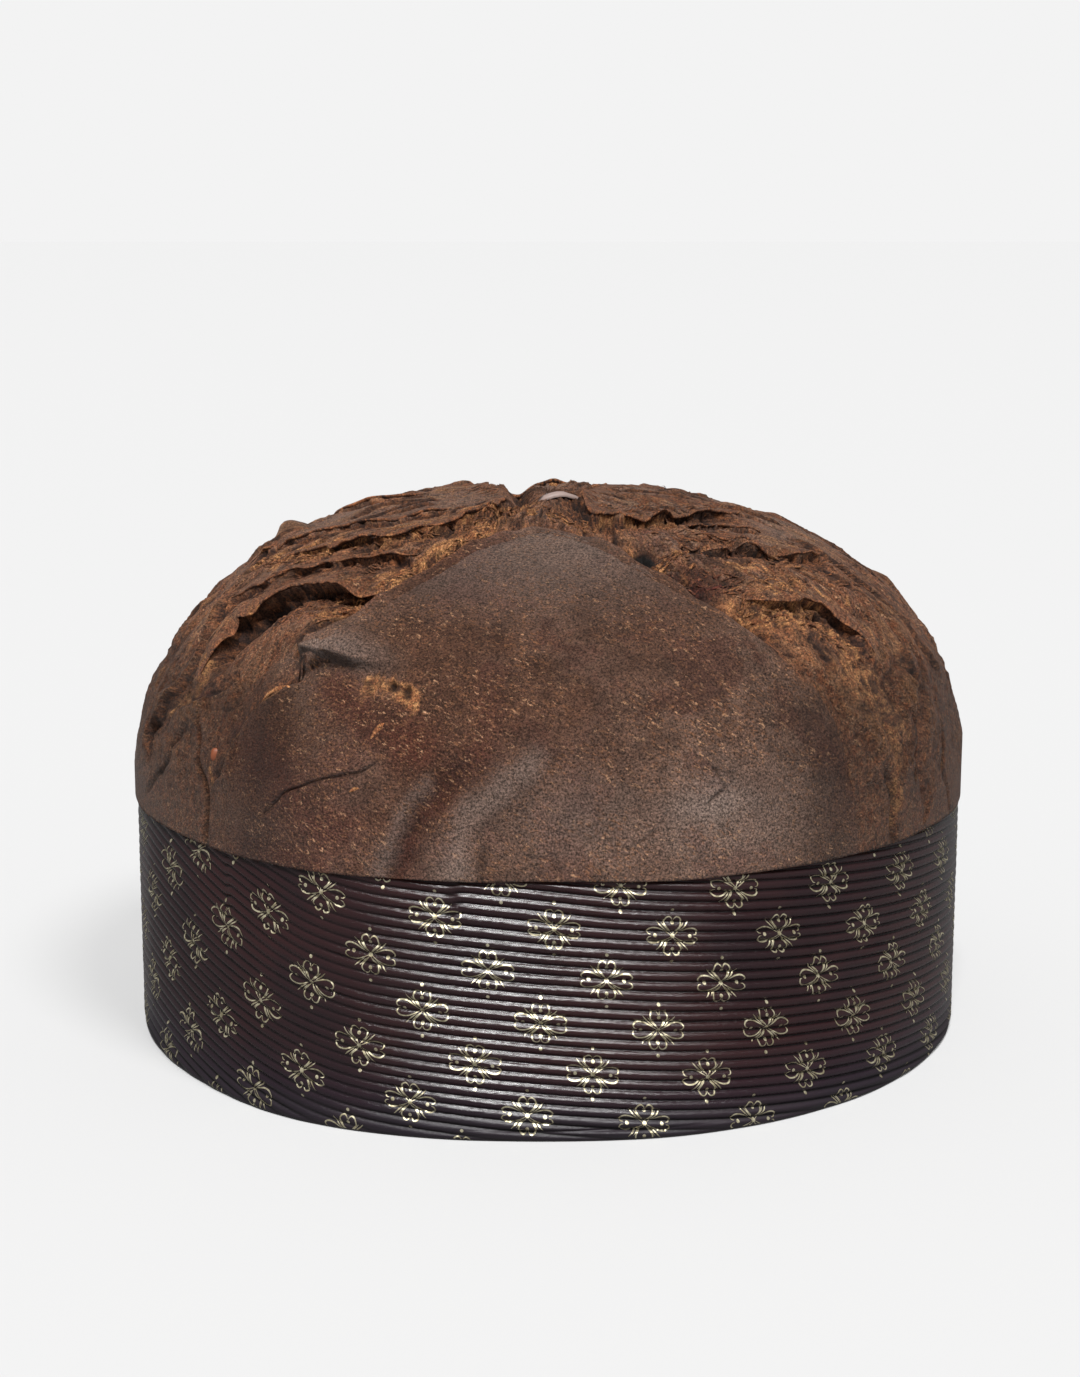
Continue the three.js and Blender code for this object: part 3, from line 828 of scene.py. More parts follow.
# %% Crust material
SKIN_GREY = srgb(126, 98, 83)
SKIN_BROWN = srgb(100, 68, 52)
SKIN_RED = srgb(88, 44, 32)
SKIN_DARK_AND_SHADE = srgb(44, 28, 20)
PAINTED_SHEEN_GREY = srgb(158, 139, 128)
FLANK_BROWN = srgb(126, 92, 72)
RUST = srgb(160, 90, 52)
FLECK = srgb(146, 100, 70)
SPECK = srgb(196, 150, 114)
CREST_HIGHLIGHT_AND_CRUMB = srgb(172, 124, 84)
CRUMB_GOLD = srgb(184, 132, 84)
CRUMB_TAN = srgb(138, 84, 50)
CRUMB_RED = srgb(84, 36, 28)
CRUMB_BROWN_AND_SHADE = srgb(52, 30, 21)
PAINTED_CAVITY_SHADE = srgb(13, 7, 5)


def crust_material():
    """Skin, flanks and crumb: each is a few colours blended by noise, and the masks lay one over
    another."""
    material, tree, shader, place = new_material("baked_crust")
    torn, sunk, gold, flap, low, red, sheen, baked, high = (attribute_of(tree, name) for name in MASKS)
    flow = add_node(tree, "ShaderNodeAttribute", attribute_name="flow").outputs["Vector"]

    # Smooth skin: grey and brown clouds, with ruddy and dark patches.
    wide = step_of(tree, noise_of(tree, place, 26.0, 4.0, 0.6), 0.40, 0.60)
    patchy = step_of(tree, noise_of(tree, place, 150.0, 7.0, 0.75), 0.40, 0.62)
    skin = blend_of(tree, wide, SKIN_BROWN, SKIN_GREY)
    ruddy = step_of(tree, noise_of(tree, place, 52.0, 6.0, 0.65), 0.48, 0.60)
    ruddy = maths(tree, "MAXIMUM", times(tree, ruddy, 0.7), red)
    skin = blend_of(tree, times(tree, ruddy, 0.8), skin, SKIN_RED)
    skin = blend_of(tree, times(tree, patchy, 0.45), skin, SKIN_DARK_AND_SHADE)

    # Skin of the flanks: dark, brown and rusty streaks along the flow.
    off_flap = maths(tree, "MULTIPLY_ADD", flap, -0.8, 0.8)
    streaks = step_of(tree, noise_of(tree, flow, 560.0, 7.0, 0.75), 0.37, 0.52)
    flank = blend_of(tree, streaks, SKIN_DARK_AND_SHADE, FLANK_BROWN)
    rusty = step_of(tree, noise_of(tree, flow, 950.0, 6.0, 0.75), 0.44, 0.57)
    flank = blend_of(tree, times(tree, rusty, 0.7), flank, RUST)
    skin = blend_of(tree, off_flap, skin, flank)
    # Painted sheen: a lighter grey where the crust shines, in place of a highlight.
    skin = blend_of(tree, times(tree, sheen, 0.48), skin, PAINTED_SHEEN_GREY)

    # Flecks and specks that lean one way, then pits and crumbs, and a painted highlight on the crests.
    leaning = stretched(tree, place, (0.0, 0.55, 0.0), (2.4, 1.3, 0.9))
    sprinkled = step_of(tree, noise_of(tree, place, 70.0, 4.0, 0.6), 0.34, 0.58)
    sprinkled = maths(tree, "MAXIMUM", sprinkled, off_flap)
    sprinkled = times(tree, sprinkled, maths(tree, "MULTIPLY_ADD", sheen, -0.8, 1.0))
    fleck = step_of(tree, noise_of(tree, leaning, 1500.0, 5.0, 0.75), 0.53, 0.60)
    skin = blend_of(tree, times(tree, fleck, times(tree, sprinkled, 0.9)), skin, FLECK)
    specks = step_of(tree, noise_of(tree, leaning, 1050.0, 5.0, 0.7), 0.59, 0.64)
    skin = blend_of(tree, times(tree, specks, sprinkled), skin, SPECK)
    grit = noise_of(tree, place, 760.0, 5.0, 0.8)
    flank_only = maths(tree, "MULTIPLY_ADD", flap, -0.6, 0.6)
    pits = times(tree, step_of(tree, grit, 0.47, 0.39), flank_only)
    skin = blend_of(tree, pits, skin, SKIN_DARK_AND_SHADE)
    crumbs = times(tree, step_of(tree, grit, 0.53, 0.61), flank_only)
    skin = blend_of(tree, crumbs, skin, CREST_HIGHLIGHT_AND_CRUMB)
    # Painted highlight: the crests are lightened, broken up by noise.
    broken = step_of(tree, noise_of(tree, flow, 900.0, 6.0, 0.75), 0.36, 0.6)
    crests = times(tree, high, broken)
    skin = blend_of(tree, times(tree, crests, 0.6), skin, CREST_HIGHLIGHT_AND_CRUMB)

    # Torn crumb, tan to brown or red, and golden crumb in ragged patches.
    fibres = step_of(tree, noise_of(tree, flow, 1100.0, 6.0, 0.75), 0.40, 0.60)
    crumb = blend_of(tree, fibres, CRUMB_BROWN_AND_SHADE, CRUMB_TAN)
    reddened = times(tree, step_of(tree, red, 0.7, 1.0), step_of(tree, patchy, 1.0, 0.0))
    crumb = blend_of(tree, reddened, crumb, CRUMB_RED)
    colour = blend_of(tree, torn, skin, crumb)
    golden = blend_of(tree, fibres, CRUMB_TAN, CRUMB_GOLD)
    ragged = noise_of(tree, flow, 260.0, 7.0, 0.75)
    patch = maths(tree, "ADD", gold, maths(tree, "MULTIPLY_ADD", ragged, 3.0, -1.5))
    shown = step_of(tree, patch, 0.35, 0.85)
    colour = blend_of(tree, times(tree, shown, 0.9), colour, golden)
    # Painted shade: the lows of the crags and the creases turn dark brown.
    colour = blend_of(tree, times(tree, low, 0.85), colour, CRUMB_BROWN_AND_SHADE)

    # A fine grain over all, then painted shade: the sides, which face away from the light, are darker, and
    # deep gaps are nearly black.
    grain = noise_of(tree, place, 2100.0, 4.0, 0.8)
    shade = add_node(tree, "ShaderNodeMapRange", {"Value": grain, 1: 0.39, 2: 0.61, 3: 0.28, 4: 2.35})
    tint = add_node(tree, "ShaderNodeCombineColor", {i: shade.outputs[0] for i in range(3)}).outputs[0]
    colour = blend_of(tree, 1.0, colour, tint, "MULTIPLY")
    colour = blend_of(tree, times(tree, baked, 0.55), colour, SKIN_DARK_AND_SHADE)
    colour = blend_of(tree, sunk, colour, PAINTED_CAVITY_SHADE)
    tree.links.new(colour, shader.inputs["Base Color"])

    # Gloss and fine relief: leather on the skin, fibres on the crumb.
    dull = maths(tree, "MAXIMUM", torn, shown)
    glossy = maths(tree, "MULTIPLY_ADD", sheen, -0.12, 0.46)
    rough = add_node(tree, "ShaderNodeMapRange", {"Value": dull, "To Min": glossy, "To Max": 0.8})
    tree.links.new(rough.outputs["Result"], shader.inputs["Roughness"])
    shader.inputs["Specular IOR Level"].default_value = 0.4
    cells = add_node(tree, "ShaderNodeTexVoronoi", {"Vector": place, "Scale": 1500.0}, feature="SMOOTH_F1")
    leather = maths(tree, "SUBTRACT", grain, times(tree, cells.outputs["Distance"], 0.7))
    lines = noise_of(tree, flow, 1700.0, 6.0, 0.75)
    relief = add_node(tree, "ShaderNodeMix", {0: dull, 2: leather, 3: lines}).outputs[0]
    bump = add_node(tree, "ShaderNodeBump", {"Strength": 1.0, "Distance": 0.0018, "Height": relief})
    tree.links.new(bump.outputs["Normal"], shader.inputs["Normal"])
    return material


baked_crust = crust_material()
print(baked_crust.name, "has", len(baked_crust.node_tree.nodes), "nodes")

# %% [markdown]
# ### Paper and print
# The case is glossy brown-violet paper, scuffed duller near the table. The print is a thin layer of
# pale gold that is worn in spots.

# %% Paper and gold materials
PAPER = srgb(35, 21, 24)
PAPER_RED = srgb(45, 24, 25)
PAPER_BLUE = srgb(29, 22, 33)
PAPER_GROOVE_SHADE = srgb(7, 4, 5)
GOLD = srgb(212, 204, 174)
GOLD_WORN = srgb(160, 150, 120)


def paper_material():
    """Clouded dark paper, darker and bluer towards the bottom, with painted shade in the grooves and fine
    fibres that make its gloss uneven.
    """
    material, tree, shader, place = new_material("ribbed_paper")
    clouds = step_of(tree, noise_of(tree, place, 28.0, 3.0), 0.35, 0.65)
    colour = blend_of(tree, clouds, PAPER, PAPER_RED)
    height = add_node(tree, "ShaderNodeSeparateXYZ", {0: place}).outputs["Z"]
    low = step_of(tree, height, 0.022, 0.0)
    colour = blend_of(tree, times(tree, low, 0.8), colour, PAPER_BLUE)
    # Painted shade deep in the grooves.
    groove = step_of(tree, attribute_of(tree, "groove"), 0.35, 0.9)
    colour = blend_of(tree, times(tree, groove, 0.8), colour, PAPER_GROOVE_SHADE)
    tree.links.new(colour, shader.inputs["Base Color"])
    fibres = noise_of(tree, stretched(tree, place, (0.0, 0.0, 0.0), (2.0, 2.0, 0.5)), 1200.0, 5.0, 0.65)
    rough = add_node(tree, "ShaderNodeMapRange", {"Value": fibres, "To Min": 0.1, "To Max": 0.24})
    scuffed = times(tree, step_of(tree, height, 0.010, 0.002), 0.35)
    rough = maths(tree, "ADD", rough.outputs["Result"], scuffed)
    tree.links.new(rough, shader.inputs["Roughness"])
    shader.inputs["Specular IOR Level"].default_value = 0.5
    bump = add_node(tree, "ShaderNodeBump", {"Strength": 1.0, "Distance": 0.00012, "Height": fibres})
    tree.links.new(bump.outputs["Normal"], shader.inputs["Normal"])
    return material


def gold_material():
    """Pale metallic gold, blended by noise with a duller one."""
    material, tree, shader, place = new_material("pale_gold_print")
    worn = step_of(tree, noise_of(tree, place, 900.0, 4.0, 0.6), 0.4, 0.62)
    colour = blend_of(tree, worn, GOLD, GOLD_WORN)
    tree.links.new(colour, shader.inputs["Base Color"])
    shader.inputs["Metallic"].default_value = 0.75
    shader.inputs["Roughness"].default_value = 0.4
    return material


ribbed_paper = paper_material()
pale_gold_print = gold_material()
print("made", ribbed_paper.name, "and", pale_gold_print.name)

# %% [markdown]
# ## The loaf
# The crust is six slices: four narrow ones at the front, where the points lie closer, and two at the
# back. They share the edges where they meet, so no seam shows. Each slice runs from the crown down over
# the lip, then in under the lip and down inside the case to the middle of the underside, so that
# together they are closed. One mesh could hold it all, but it would have too many triangles.

# %% Pieces of the loaf
SLICE_COLUMNS = 240
LIP_DROOP = 0.4
DOME_ROWS = 400
INSIDE_RADIUS = CASE_RADIUS - CASE_WALL - 0.6
LIP_ROWS = [(105.75, 60.3), (105.4, 60.35), (INSIDE_RADIUS, 60.4), (INSIDE_RADIUS, 5.3),
            (INSIDE_RADIUS - 4.0, 1.3), (0.0, 1.3)]
SLICES = {
    "loaf_front_left": (-45.0, 45.0), "loaf_front_right": (0.0, 45.0),
    "loaf_left": (-90.0, 45.0), "loaf_right": (45.0, 45.0),
    "loaf_back_left": (180.0, 90.0), "loaf_back_right": (90.0, 90.0),
}


def wrap_degrees(degrees):
    """The same angles, from -180 to 180."""
    return (degrees + 180.0) % 360.0 - 180.0


def loaf_slice(name, start, width):
    """A slice of the loaf: rows from the middle of the underside up to the crown, columns to the
    right. The lip droops over the paper by an amount that is a noise."""
    degrees = wrap_degrees(start + np.linspace(0.0, width, SLICE_COLUMNS))
    share = np.linspace(1.0, 0.0, DOME_ROWS)
    radius, z = dome_section(share)
    heights = z[:, None] + 0 * degrees[None, :]
    points, masks, flow = crust_points(degrees[None, :], radius[:, None], heights)
    under = [around(degrees, r, h) for r, h in reversed(LIP_ROWS)]
    points = np.concatenate([np.stack(under), points])
    x, y, z = np.moveaxis(points, -1, 0)
    droop = LIP_DROOP * (1.0 + noise(x, y, 0.0, 24, 85))
    droop = droop * smooth(z, 67.0, LIP_BOTTOM) * smooth(np.hypot(x, y), 104.5, 105.2)
    points[..., 2] -= droop
    blank = np.zeros((len(under), SLICE_COLUMNS))
    masks = {key: np.concatenate([blank, value]) for key, value in masks.items()}
    masks["flow"] = np.concatenate([np.stack(under), flow]).reshape(-1, 3) * MM
    faces = grid_faces(len(points), SLICE_COLUMNS)
    piece = make_mesh(name, points.reshape(-1, 3), faces, baked_crust, masks)
    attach(piece, "root")
    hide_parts("loaf")
    return piece


for slice_name, (slice_start, slice_width) in SLICES.items():
    loaf_slice(slice_name, slice_start, slice_width)

# %% [markdown]
# ## Torn edges of the skin
# A dome with relief can't overhang, but torn skin curls over the gap below it. So each tear gets a
# strip of its own along its edge: a thin blade that starts buried under the skin, rises to just over
# it, juts out over the gap by an uneven amount, and returns underneath. Its shadow makes the gap dark,
# and painted shade darkens its underside.

# %% Follow a tear over the crust
ROUNDING = 4.0


def even_steps(path, step):
    """Points every step mm along a path, with its corners rounded by a running mean, and the way to
    its left, seen from above."""
    path = np.array(path, float)
    lengths = np.concatenate([[0.0], np.cumsum(np.linalg.norm(np.diff(path, axis=0), axis=1))])
    run = np.linspace(0.0, lengths[-1], int(lengths[-1] / step) + 2)
    points = np.stack([np.interp(run, lengths, path[:, a]) for a in range(2)], axis=1)
    width = int(ROUNDING / step)
    kernel = np.ones(2 * width + 1) / (2 * width + 1)
    padded = np.pad(points, ((width, width), (0, 0)), mode="reflect", reflect_type="odd")
    points = np.stack([np.convolve(padded[:, a], kernel, mode="valid") for a in range(2)], axis=1)
    way = np.gradient(points, axis=0)
    way /= np.linalg.norm(way, axis=1, keepdims=True)
    return points, np.stack([-way[:, 1], way[:, 0]], axis=1), run


def unbent(x, y):
    """The spots that the bending noise pushes onto the given ones, found by stepping back."""
    at_x, at_y = np.array(x, float), np.array(y, float)
    for _ in range(5):
        bent_x, bent_y = bend(at_x, at_y, dome_height(at_x, at_y))
        at_x, at_y = at_x + x - bent_x, at_y + y - bent_y
    return at_x, at_y


def on_crust(x, y):
    """Points of the finished crust over spots seen from above, the way out there, and the flow."""
    z = dome_height(x, y)
    upright = x - lean(z)
    points, _, flow = crust_points(np.degrees(np.arctan2(upright, -y)), np.hypot(upright, y), z)
    outward = points - HEART
    return points, outward / np.linalg.norm(outward, axis=-1, keepdims=True), flow


way_out = on_crust(np.array([0.0]), np.array([-60.0]))[1][0]
print("the crust 60 mm in front of its middle faces", way_out.round(2))

# %% A blade along a tear
# Each row across a blade: a distance from the tear over the skin, a height over the skin, a share of
# the overhang, how torn it looks, and how dark its painted shade is.
BLADE = [
    (7.0, -0.5, 0.0, 0.0, 0.0), (3.5, 0.05, 0.0, 0.0, 0.0), (1.6, 0.35, 0.0, 0.0, 0.0),
    (0.7, 0.45, 0.1, 0.1, 0.0), (0.7, 0.4, 0.6, 0.3, 0.0), (0.7, 0.2, 0.9, 0.7, 0.0),
    (0.7, -0.15, 1.0, 1.0, 0.15), (0.7, -0.55, 0.85, 1.0, 0.5), (0.9, -1.0, 0.2, 1.0, 0.9),
    (2.5, -1.8, 0.0, 1.0, 1.0),
]
EDGE_STEP = 0.45
EDGE_SMOOTHING = 4


def smoothed(points):
    """Points along a line, each the mean of its neighbours."""
    kernel = np.ones(2 * EDGE_SMOOTHING + 1) / (2 * EDGE_SMOOTHING + 1)
    padded = np.pad(points, ((EDGE_SMOOTHING, EDGE_SMOOTHING), (0, 0)), mode="edge")
    return np.stack([np.convolve(padded[:, a], kernel, mode="valid") for a in range(3)], axis=1)


def torn_edge(name, one, jut, seed):
    """A blade along a tear. Its overhang is a sum of noises along the tear, times jut, and goes on
    straight from the skin's last slope. It shrinks into the skin at both ends by a soft step."""
    centre, left, run = even_steps(one["path"], EDGE_STEP)
    whole = smooth(run, 0.0, 7.0) * smooth(run, run[-1], run[-1] - 7.0)
    overhang = jut * (0.8 + 0.8 * noise(run, seed, 0.0, 12.0, 101) + 0.35 * noise(run, seed, 0.0, 4.0, 102))
    overhang = np.clip(overhang + 0.16 * jut * noise(run, seed, 0.0, 1.8, 103), 0.05, None) * whole
    curl = 0.25 + 0.5 * noise(run, seed, 3.0, 11.0, 104)
    laid = {}
    for distance in sorted({row[0] for row in BLADE}):
        x, y = centre[:, 0] + left[:, 0] * distance, centre[:, 1] + left[:, 1] * distance
        straight_x, straight_y = unbent(x, y)
        x, y = x + one["wild"] * (straight_x - x), y + one["wild"] * (straight_y - y)
        points, outward, flow = on_crust(x, y)
        laid[distance] = (smoothed(points), outward, flow)
    edge, back = laid[0.7][0], laid[1.6][0]
    ahead = edge - back
    ahead /= np.linalg.norm(ahead, axis=1, keepdims=True)
    rings = []
    for distance, lift, share, _, _ in BLADE:
        points, outward, _ = laid[distance]
        lift = np.where(whole > 0.02, lift, -0.6)[:, None] * (0.3 + 0.7 * whole[:, None])
        out = overhang[:, None] * share
        rings.append(points + outward * (lift + curl[:, None] * share * 0.8) + ahead * out)
    flow = np.stack([laid[row[0]][2] for row in BLADE], axis=1)
    points = np.stack(rings, axis=1)
    count, sides = points.shape[:2]
    torn, sunk = (np.array([row[k] for row in BLADE]) for k in (3, 4))
    masks = masks_of((count, sides), torn=torn, sunk=sunk, gold=0.35 * torn * (1.0 - sunk),
                     flap=1.0 if name == "edge_front" else 0.2)
    masks["flow"] = flow.reshape(-1, 3) * MM
    ends = np.stack([np.arange(sides)[::-1], (count - 1) * sides + np.arange(sides)])
    faces = grid_faces(count, sides, closed=True)
    piece = make_mesh(name, points.reshape(-1, 3), faces, baked_crust, masks, ends=ends)
    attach(piece, "root")
    return piece


# %% Strips along the tears
EDGES = {
    "edge_front": ("front", 1.0), "edge_left": ("left", 1.9), "edge_fissure": ("fissure", 2.8),
    "edge_right": ("right", 1.7), "edge_strip": ("strip", 0.9), "edge_arc": ("arc", 1.6),
    "edge_back": ("back", 1.8), "edge_layer_1": ("layer_1", 1.3), "edge_layer_2": ("layer_2", 1.3),
    "edge_layer_3": ("layer_3", 1.3), "edge_layer_4": ("layer_4", 1.3), "edge_layer_5": ("layer_5", 1.3),
    "edge_layer_6": ("layer_6", 1.2), "edge_slit_1": ("slit_1", 0.8), "edge_slit_2": ("slit_2", 0.8),
}
ALL_TEARS = BIG_TEARS | SMALL_TEARS
for number, (edge_name, (tear_name, jut)) in enumerate(EDGES.items()):
    torn_edge(edge_name, ALL_TEARS[tear_name], jut, 10.0 * number)

# %% [markdown]
# ## Strands of crumb
# A panettone's crumb tears into threads. They are pulled out between the skin and the sunk crumb, so
# they lie across and along every tear. Each one here is a thin flat spindle that lies on the crust and
# is bowed a little off it. Hairs from a particle system would be too even and too round. The spindles
# share one mesh, because no one of them is a piece of its own.

# %% Lay spindles on the crust
STATIONS = 8
CORNERS = 4


def spindles(name, x, y, way, length, width, bow, lift, masks, material, taper=0.7):
    """Spindles laid on the crust: arrays of middles, ways and sizes. Each is a line of stations, bowed
    sideways as a parabola and lifted as a sine, with a flat four-cornered section that thins out to
    both ends as a power of the sine."""
    share = np.linspace(0.0, 1.0, STATIONS)[None, :]
    run = (share - 0.5) * length[:, None]
    side = bow[:, None] * (1.0 - (2.0 * share - 1.0) ** 2)
    at_x = x[:, None] + run * np.cos(way)[:, None] - side * np.sin(way)[:, None]
    at_y = y[:, None] + run * np.sin(way)[:, None] + side * np.cos(way)[:, None]
    points, outward, flow = on_crust(at_x, at_y)
    centre = points + outward * (lift[:, None] * np.sin(np.pi * share) - 0.1)[..., None]
    along = np.gradient(centre, axis=1)
    aside = np.cross(outward, along)
    aside /= np.linalg.norm(aside, axis=-1, keepdims=True)
    thin = (width[:, None] * np.sin(np.pi * (0.04 + 0.92 * share)) ** taper)[..., None]
    rings = [centre + aside * thin / 2, centre + outward * thin / 6,
             centre - aside * thin / 2, centre - outward * thin / 6]
    points = np.stack(rings, axis=2)
    one = grid_faces(STATIONS, CORNERS, closed=True)
    last = (STATIONS - 1) * CORNERS + np.arange(CORNERS)
    one = np.concatenate([one, [[3, 2, 1, 0]], [last]])
    faces = one[None] + (np.arange(len(x)) * STATIONS * CORNERS)[:, None, None]
    shape = points.shape[:3]
    values = {key: (value[:, None, None] * np.ones(shape)).ravel() for key, value in masks.items()}
    values["flow"] = (flow[:, :, None] * np.ones((*shape, 1))).reshape(-1, 3) * MM
    piece = make_mesh(name, points.reshape(-1, 3), faces.reshape(-1, 4), material, values)
    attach(piece, "root")
    return piece


# %% Strands along the golden crumb and the tears
STRAND_SEED = 5
# Each row: how wide the strands are spread in mm, how many they are, how golden, how much they are
# turned off the way of the path, and the path.
STRANDS = [
    (3.5, 150, 1.0, 0.5, [(-52, -62), (-45, -64), (-38, -62), (-29, -57)]),
    (3.0, 130, 0.8, 0.3, [(-29, -57), (-24, -50), (-17, -42), (-7, -27)]),
    (2.4, 260, 0.7, 0.3, [(-74, -14), (-65, -29), (-53, -35), (-41, -40), (-25, -40), (-15, -31),
     (-7, -20)]),
    (3.0, 70, 0.9, 0.3, [(-8, -22), (2, -31), (12, -40)]),
    (1.6, 60, 1.0, 0.6, [(7, -47), (14, -51), (20, -57)]),
    (2.4, 40, 0.9, 0.15, [(22, -61), (33, -47)]),
    (4.0, 80, 0.7, 0.4, [(46, -66), (56, -61), (66, -60), (74, -60)]),
    (3.5, 60, 0.6, 0.5, [(42, -58), (50, -58), (60, -50)]),
    (5.0, 160, 0.3, 0.25, [(24, -42), (40, -42), (60, -38), (78, -22)]),
    (5.0, 90, 0.2, 0.25, [(12, -30), (24, -26), (44, -4)]),
    (2.0, 60, 0.7, 0.4, [(-62, -57), (-56, -58), (-48, -62)]),
    (1.8, 60, 0.4, 0.5, [(-56, -55), (-52, -57), (-46, -61)]),
    (4.0, 50, 0.0, 0.9, [(28, -62), (36, -58), (44, -56)]),
    (5.0, 120, 0.15, 0.25, [(-80, -34), (-60, -44), (-40, -52)]),
    (3.0, 200, 0.7, 0.5, [(-62, 66), (-40, 58), (-16, 44), (4, 34), (20, 44), (36, 58), (60, 66)]),
    (3.0, 110, 0.7, 0.3, [(16, 12), (34, 38), (52, 60)]),
    (3.0, 110, 0.7, 0.3, [(-12, 10), (-34, 36), (-54, 58)]),
]


def crumb_strands():
    """Spindles scattered to both sides of each path by a normal draw, turned a little off its way."""
    random = np.random.default_rng(STRAND_SEED)
    middles = []
    ways = []
    golds = []
    for spread_mm, number, golden, turn, path in STRANDS:
        points, left, _ = even_steps(path, 0.5)
        place = random.integers(0, len(points), number)
        off = random.normal(0.0, spread_mm / 1.6, number)
        middles.append(points[place] + left[place] * off[:, None])
        turned = random.normal(0.0, turn, number)
        ways.append(np.arctan2(-left[place, 0], left[place, 1]) + turned)
        golds.append(golden * random.uniform(0.5, 1.0, number))
    middle = np.concatenate(middles)
    gold = np.concatenate(golds)
    count = len(middle)
    length = random.uniform(1.6, 5.5, count)
    width = random.uniform(0.25, 1.0, count)
    bow = random.normal(0.0, 0.5, count)
    lift = random.uniform(0.05, 0.4, count)
    masks = masks_of(count, torn=random.uniform(0.4, 1.0, count), gold=gold,
                     low=random.uniform(0.0, 0.7, count) ** 2, red=np.where(gold == 0.0, 1.2, 0.0))
    return spindles("crumb_strands", middle[:, 0], middle[:, 1], np.concatenate(ways), length, width,
                    bow, lift, masks, baked_crust)


crumb_strands()

# %% [markdown]
# ## Flakes and a bit of fruit
# A few larger flakes lie on the crust: a pale shard of icing sugar and skin by the crown, thin golden
# shreds on the front flap, and one small cube of candied orange that baked into the left side.

# %% Flakes
SHARD = srgb(172, 150, 142)
SHARP, BLUNT = 0.7, 0.3
# Each row: x, y, way in degrees, length, width, bow and lift.
FLAKES = np.array([
    (-60.4, -74.8, -24.0, 9.0, 1.5, 0.8, 0.1), (2.8, -88.4, -5.0, 7.0, 0.6, 0.2, 0.0),
    (-13.0, -89.2, -13.0, 6.5, 0.4, 0.2, 0.0), (-37.3, -92.0, 12.0, 3.4, 1.5, 0.2, 0.1),
    (-42.3, -95.1, -18.0, 2.6, 0.9, 0.1, 0.1), (30.0, -80.0, -30.0, 2.6, 0.7, 0.2, 0.0),
    (12.0, -72.0, -10.0, 2.2, 0.5, 0.1, 0.0), (40.0, 80.0, 20.0, 6.0, 0.8, 0.3, 0.1),
])
SHARDS = np.array([(3.0, -13.0, 24.0, 11.5, 4.6, 0.0, 0.6)])


def lay_flakes(name, table, gold, material, taper):
    """Spindles from a table like FLAKES, golden by a share."""
    x, y, way, length, width, bow, lift = table.T
    masks = masks_of(len(table), gold=gold)
    return spindles(name, x, y, np.radians(way), length, width, bow, lift, masks, material, taper)


def plain_material(name, colour, roughness):
    """A matt colour with soft mottling."""
    material, tree, shader, place = new_material(name)
    mottled = noise_of(tree, place, 700.0, 4.0, 0.6)
    darker = (*(0.6 * value for value in colour[:3]), 1.0)
    tree.links.new(blend_of(tree, mottled, colour, darker), shader.inputs["Base Color"])
    shader.inputs["Roughness"].default_value = roughness
    return material


lay_flakes("flakes", FLAKES, 1.0, baked_crust, SHARP)
lay_flakes("pale_shard", SHARDS, 0.0, plain_material("pale_shard", SHARD, 0.5), BLUNT)

# %% Fruit
FRUIT = srgb(140, 74, 42)
FRUIT_AT = (-76.0, -70.0)
FRUIT_RADII = np.array([1.3, 1.0, 1.7])
FRUIT_POWER = 0.8
FRUIT_SUNK = 0.5


def fruit_bit():
    """A rounded cube half sunk in the crust: a ball whose directions are raised to a power under 1,
    with noise on it."""
    turn = np.linspace(0.0, 2 * np.pi, 24, endpoint=False)[None, :]
    tilt = np.linspace(-np.pi / 2, np.pi / 2, 13)[:, None]
    parts = np.cos(tilt) * np.cos(turn), np.cos(tilt) * np.sin(turn), np.sin(tilt)
    ball = np.stack(np.broadcast_arrays(*parts), axis=-1).reshape(-1, 3)
    ball = np.sign(ball) * np.abs(ball) ** FRUIT_POWER * FRUIT_RADII
    x, y = FRUIT_AT
    centre, outward, _ = on_crust(np.array([x]), np.array([y]))
    points = centre - FRUIT_SUNK * outward + ball + 0.12 * noise(*(4 * ball.T), 4, 7)[:, None]
    material = plain_material("candied_orange", FRUIT, 0.55)
    piece = make_mesh("fruit_bit", points, grid_faces(13, 24, closed=True), material)
    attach(piece, "root")
    return piece


fruit_bit()

# %% [markdown]
# ## The ribbed wall of the case
# Ribbed paper could be a smooth tube with a bump pattern, but the ribs catch the light one by one, so
# they are real relief here: about eleven rows of points for each rib.

# %% Ribs
RIB_POWER = 0.75
TOP_KINK = 0.8
SIDE_KINK = 1.1


def rib_profile(turns):
    """Height of the ribs from 0 in a groove to 1 on a crest: the absolute cosine of half turns,
    raised to a power under 1, which rounds the crests and pinches the grooves."""
    return np.abs(np.cos(np.pi * turns)) ** RIB_POWER


def corner_inset(z):
    """How far the quarter-round bottom corner steps in at a height."""
    below = np.clip(CASE_CORNER - z, 0.0, CASE_CORNER)
    return CASE_CORNER - np.sqrt(CASE_CORNER**2 - below**2)


def rib_kinks(degrees, z):
    """Where handling has pushed the ribs up or down by part of a rib."""
    top = TOP_KINK * smooth(degrees, -12.0, -10.8) * smooth(degrees, 14.0, -6.0) * smooth(z, 47.0, 55.0)
    side = SIDE_KINK * smooth(degrees, -44.5, -43.3) * smooth(degrees, -30.0, -40.0) * hump(z - 50.0, 12.0)
    return top + side


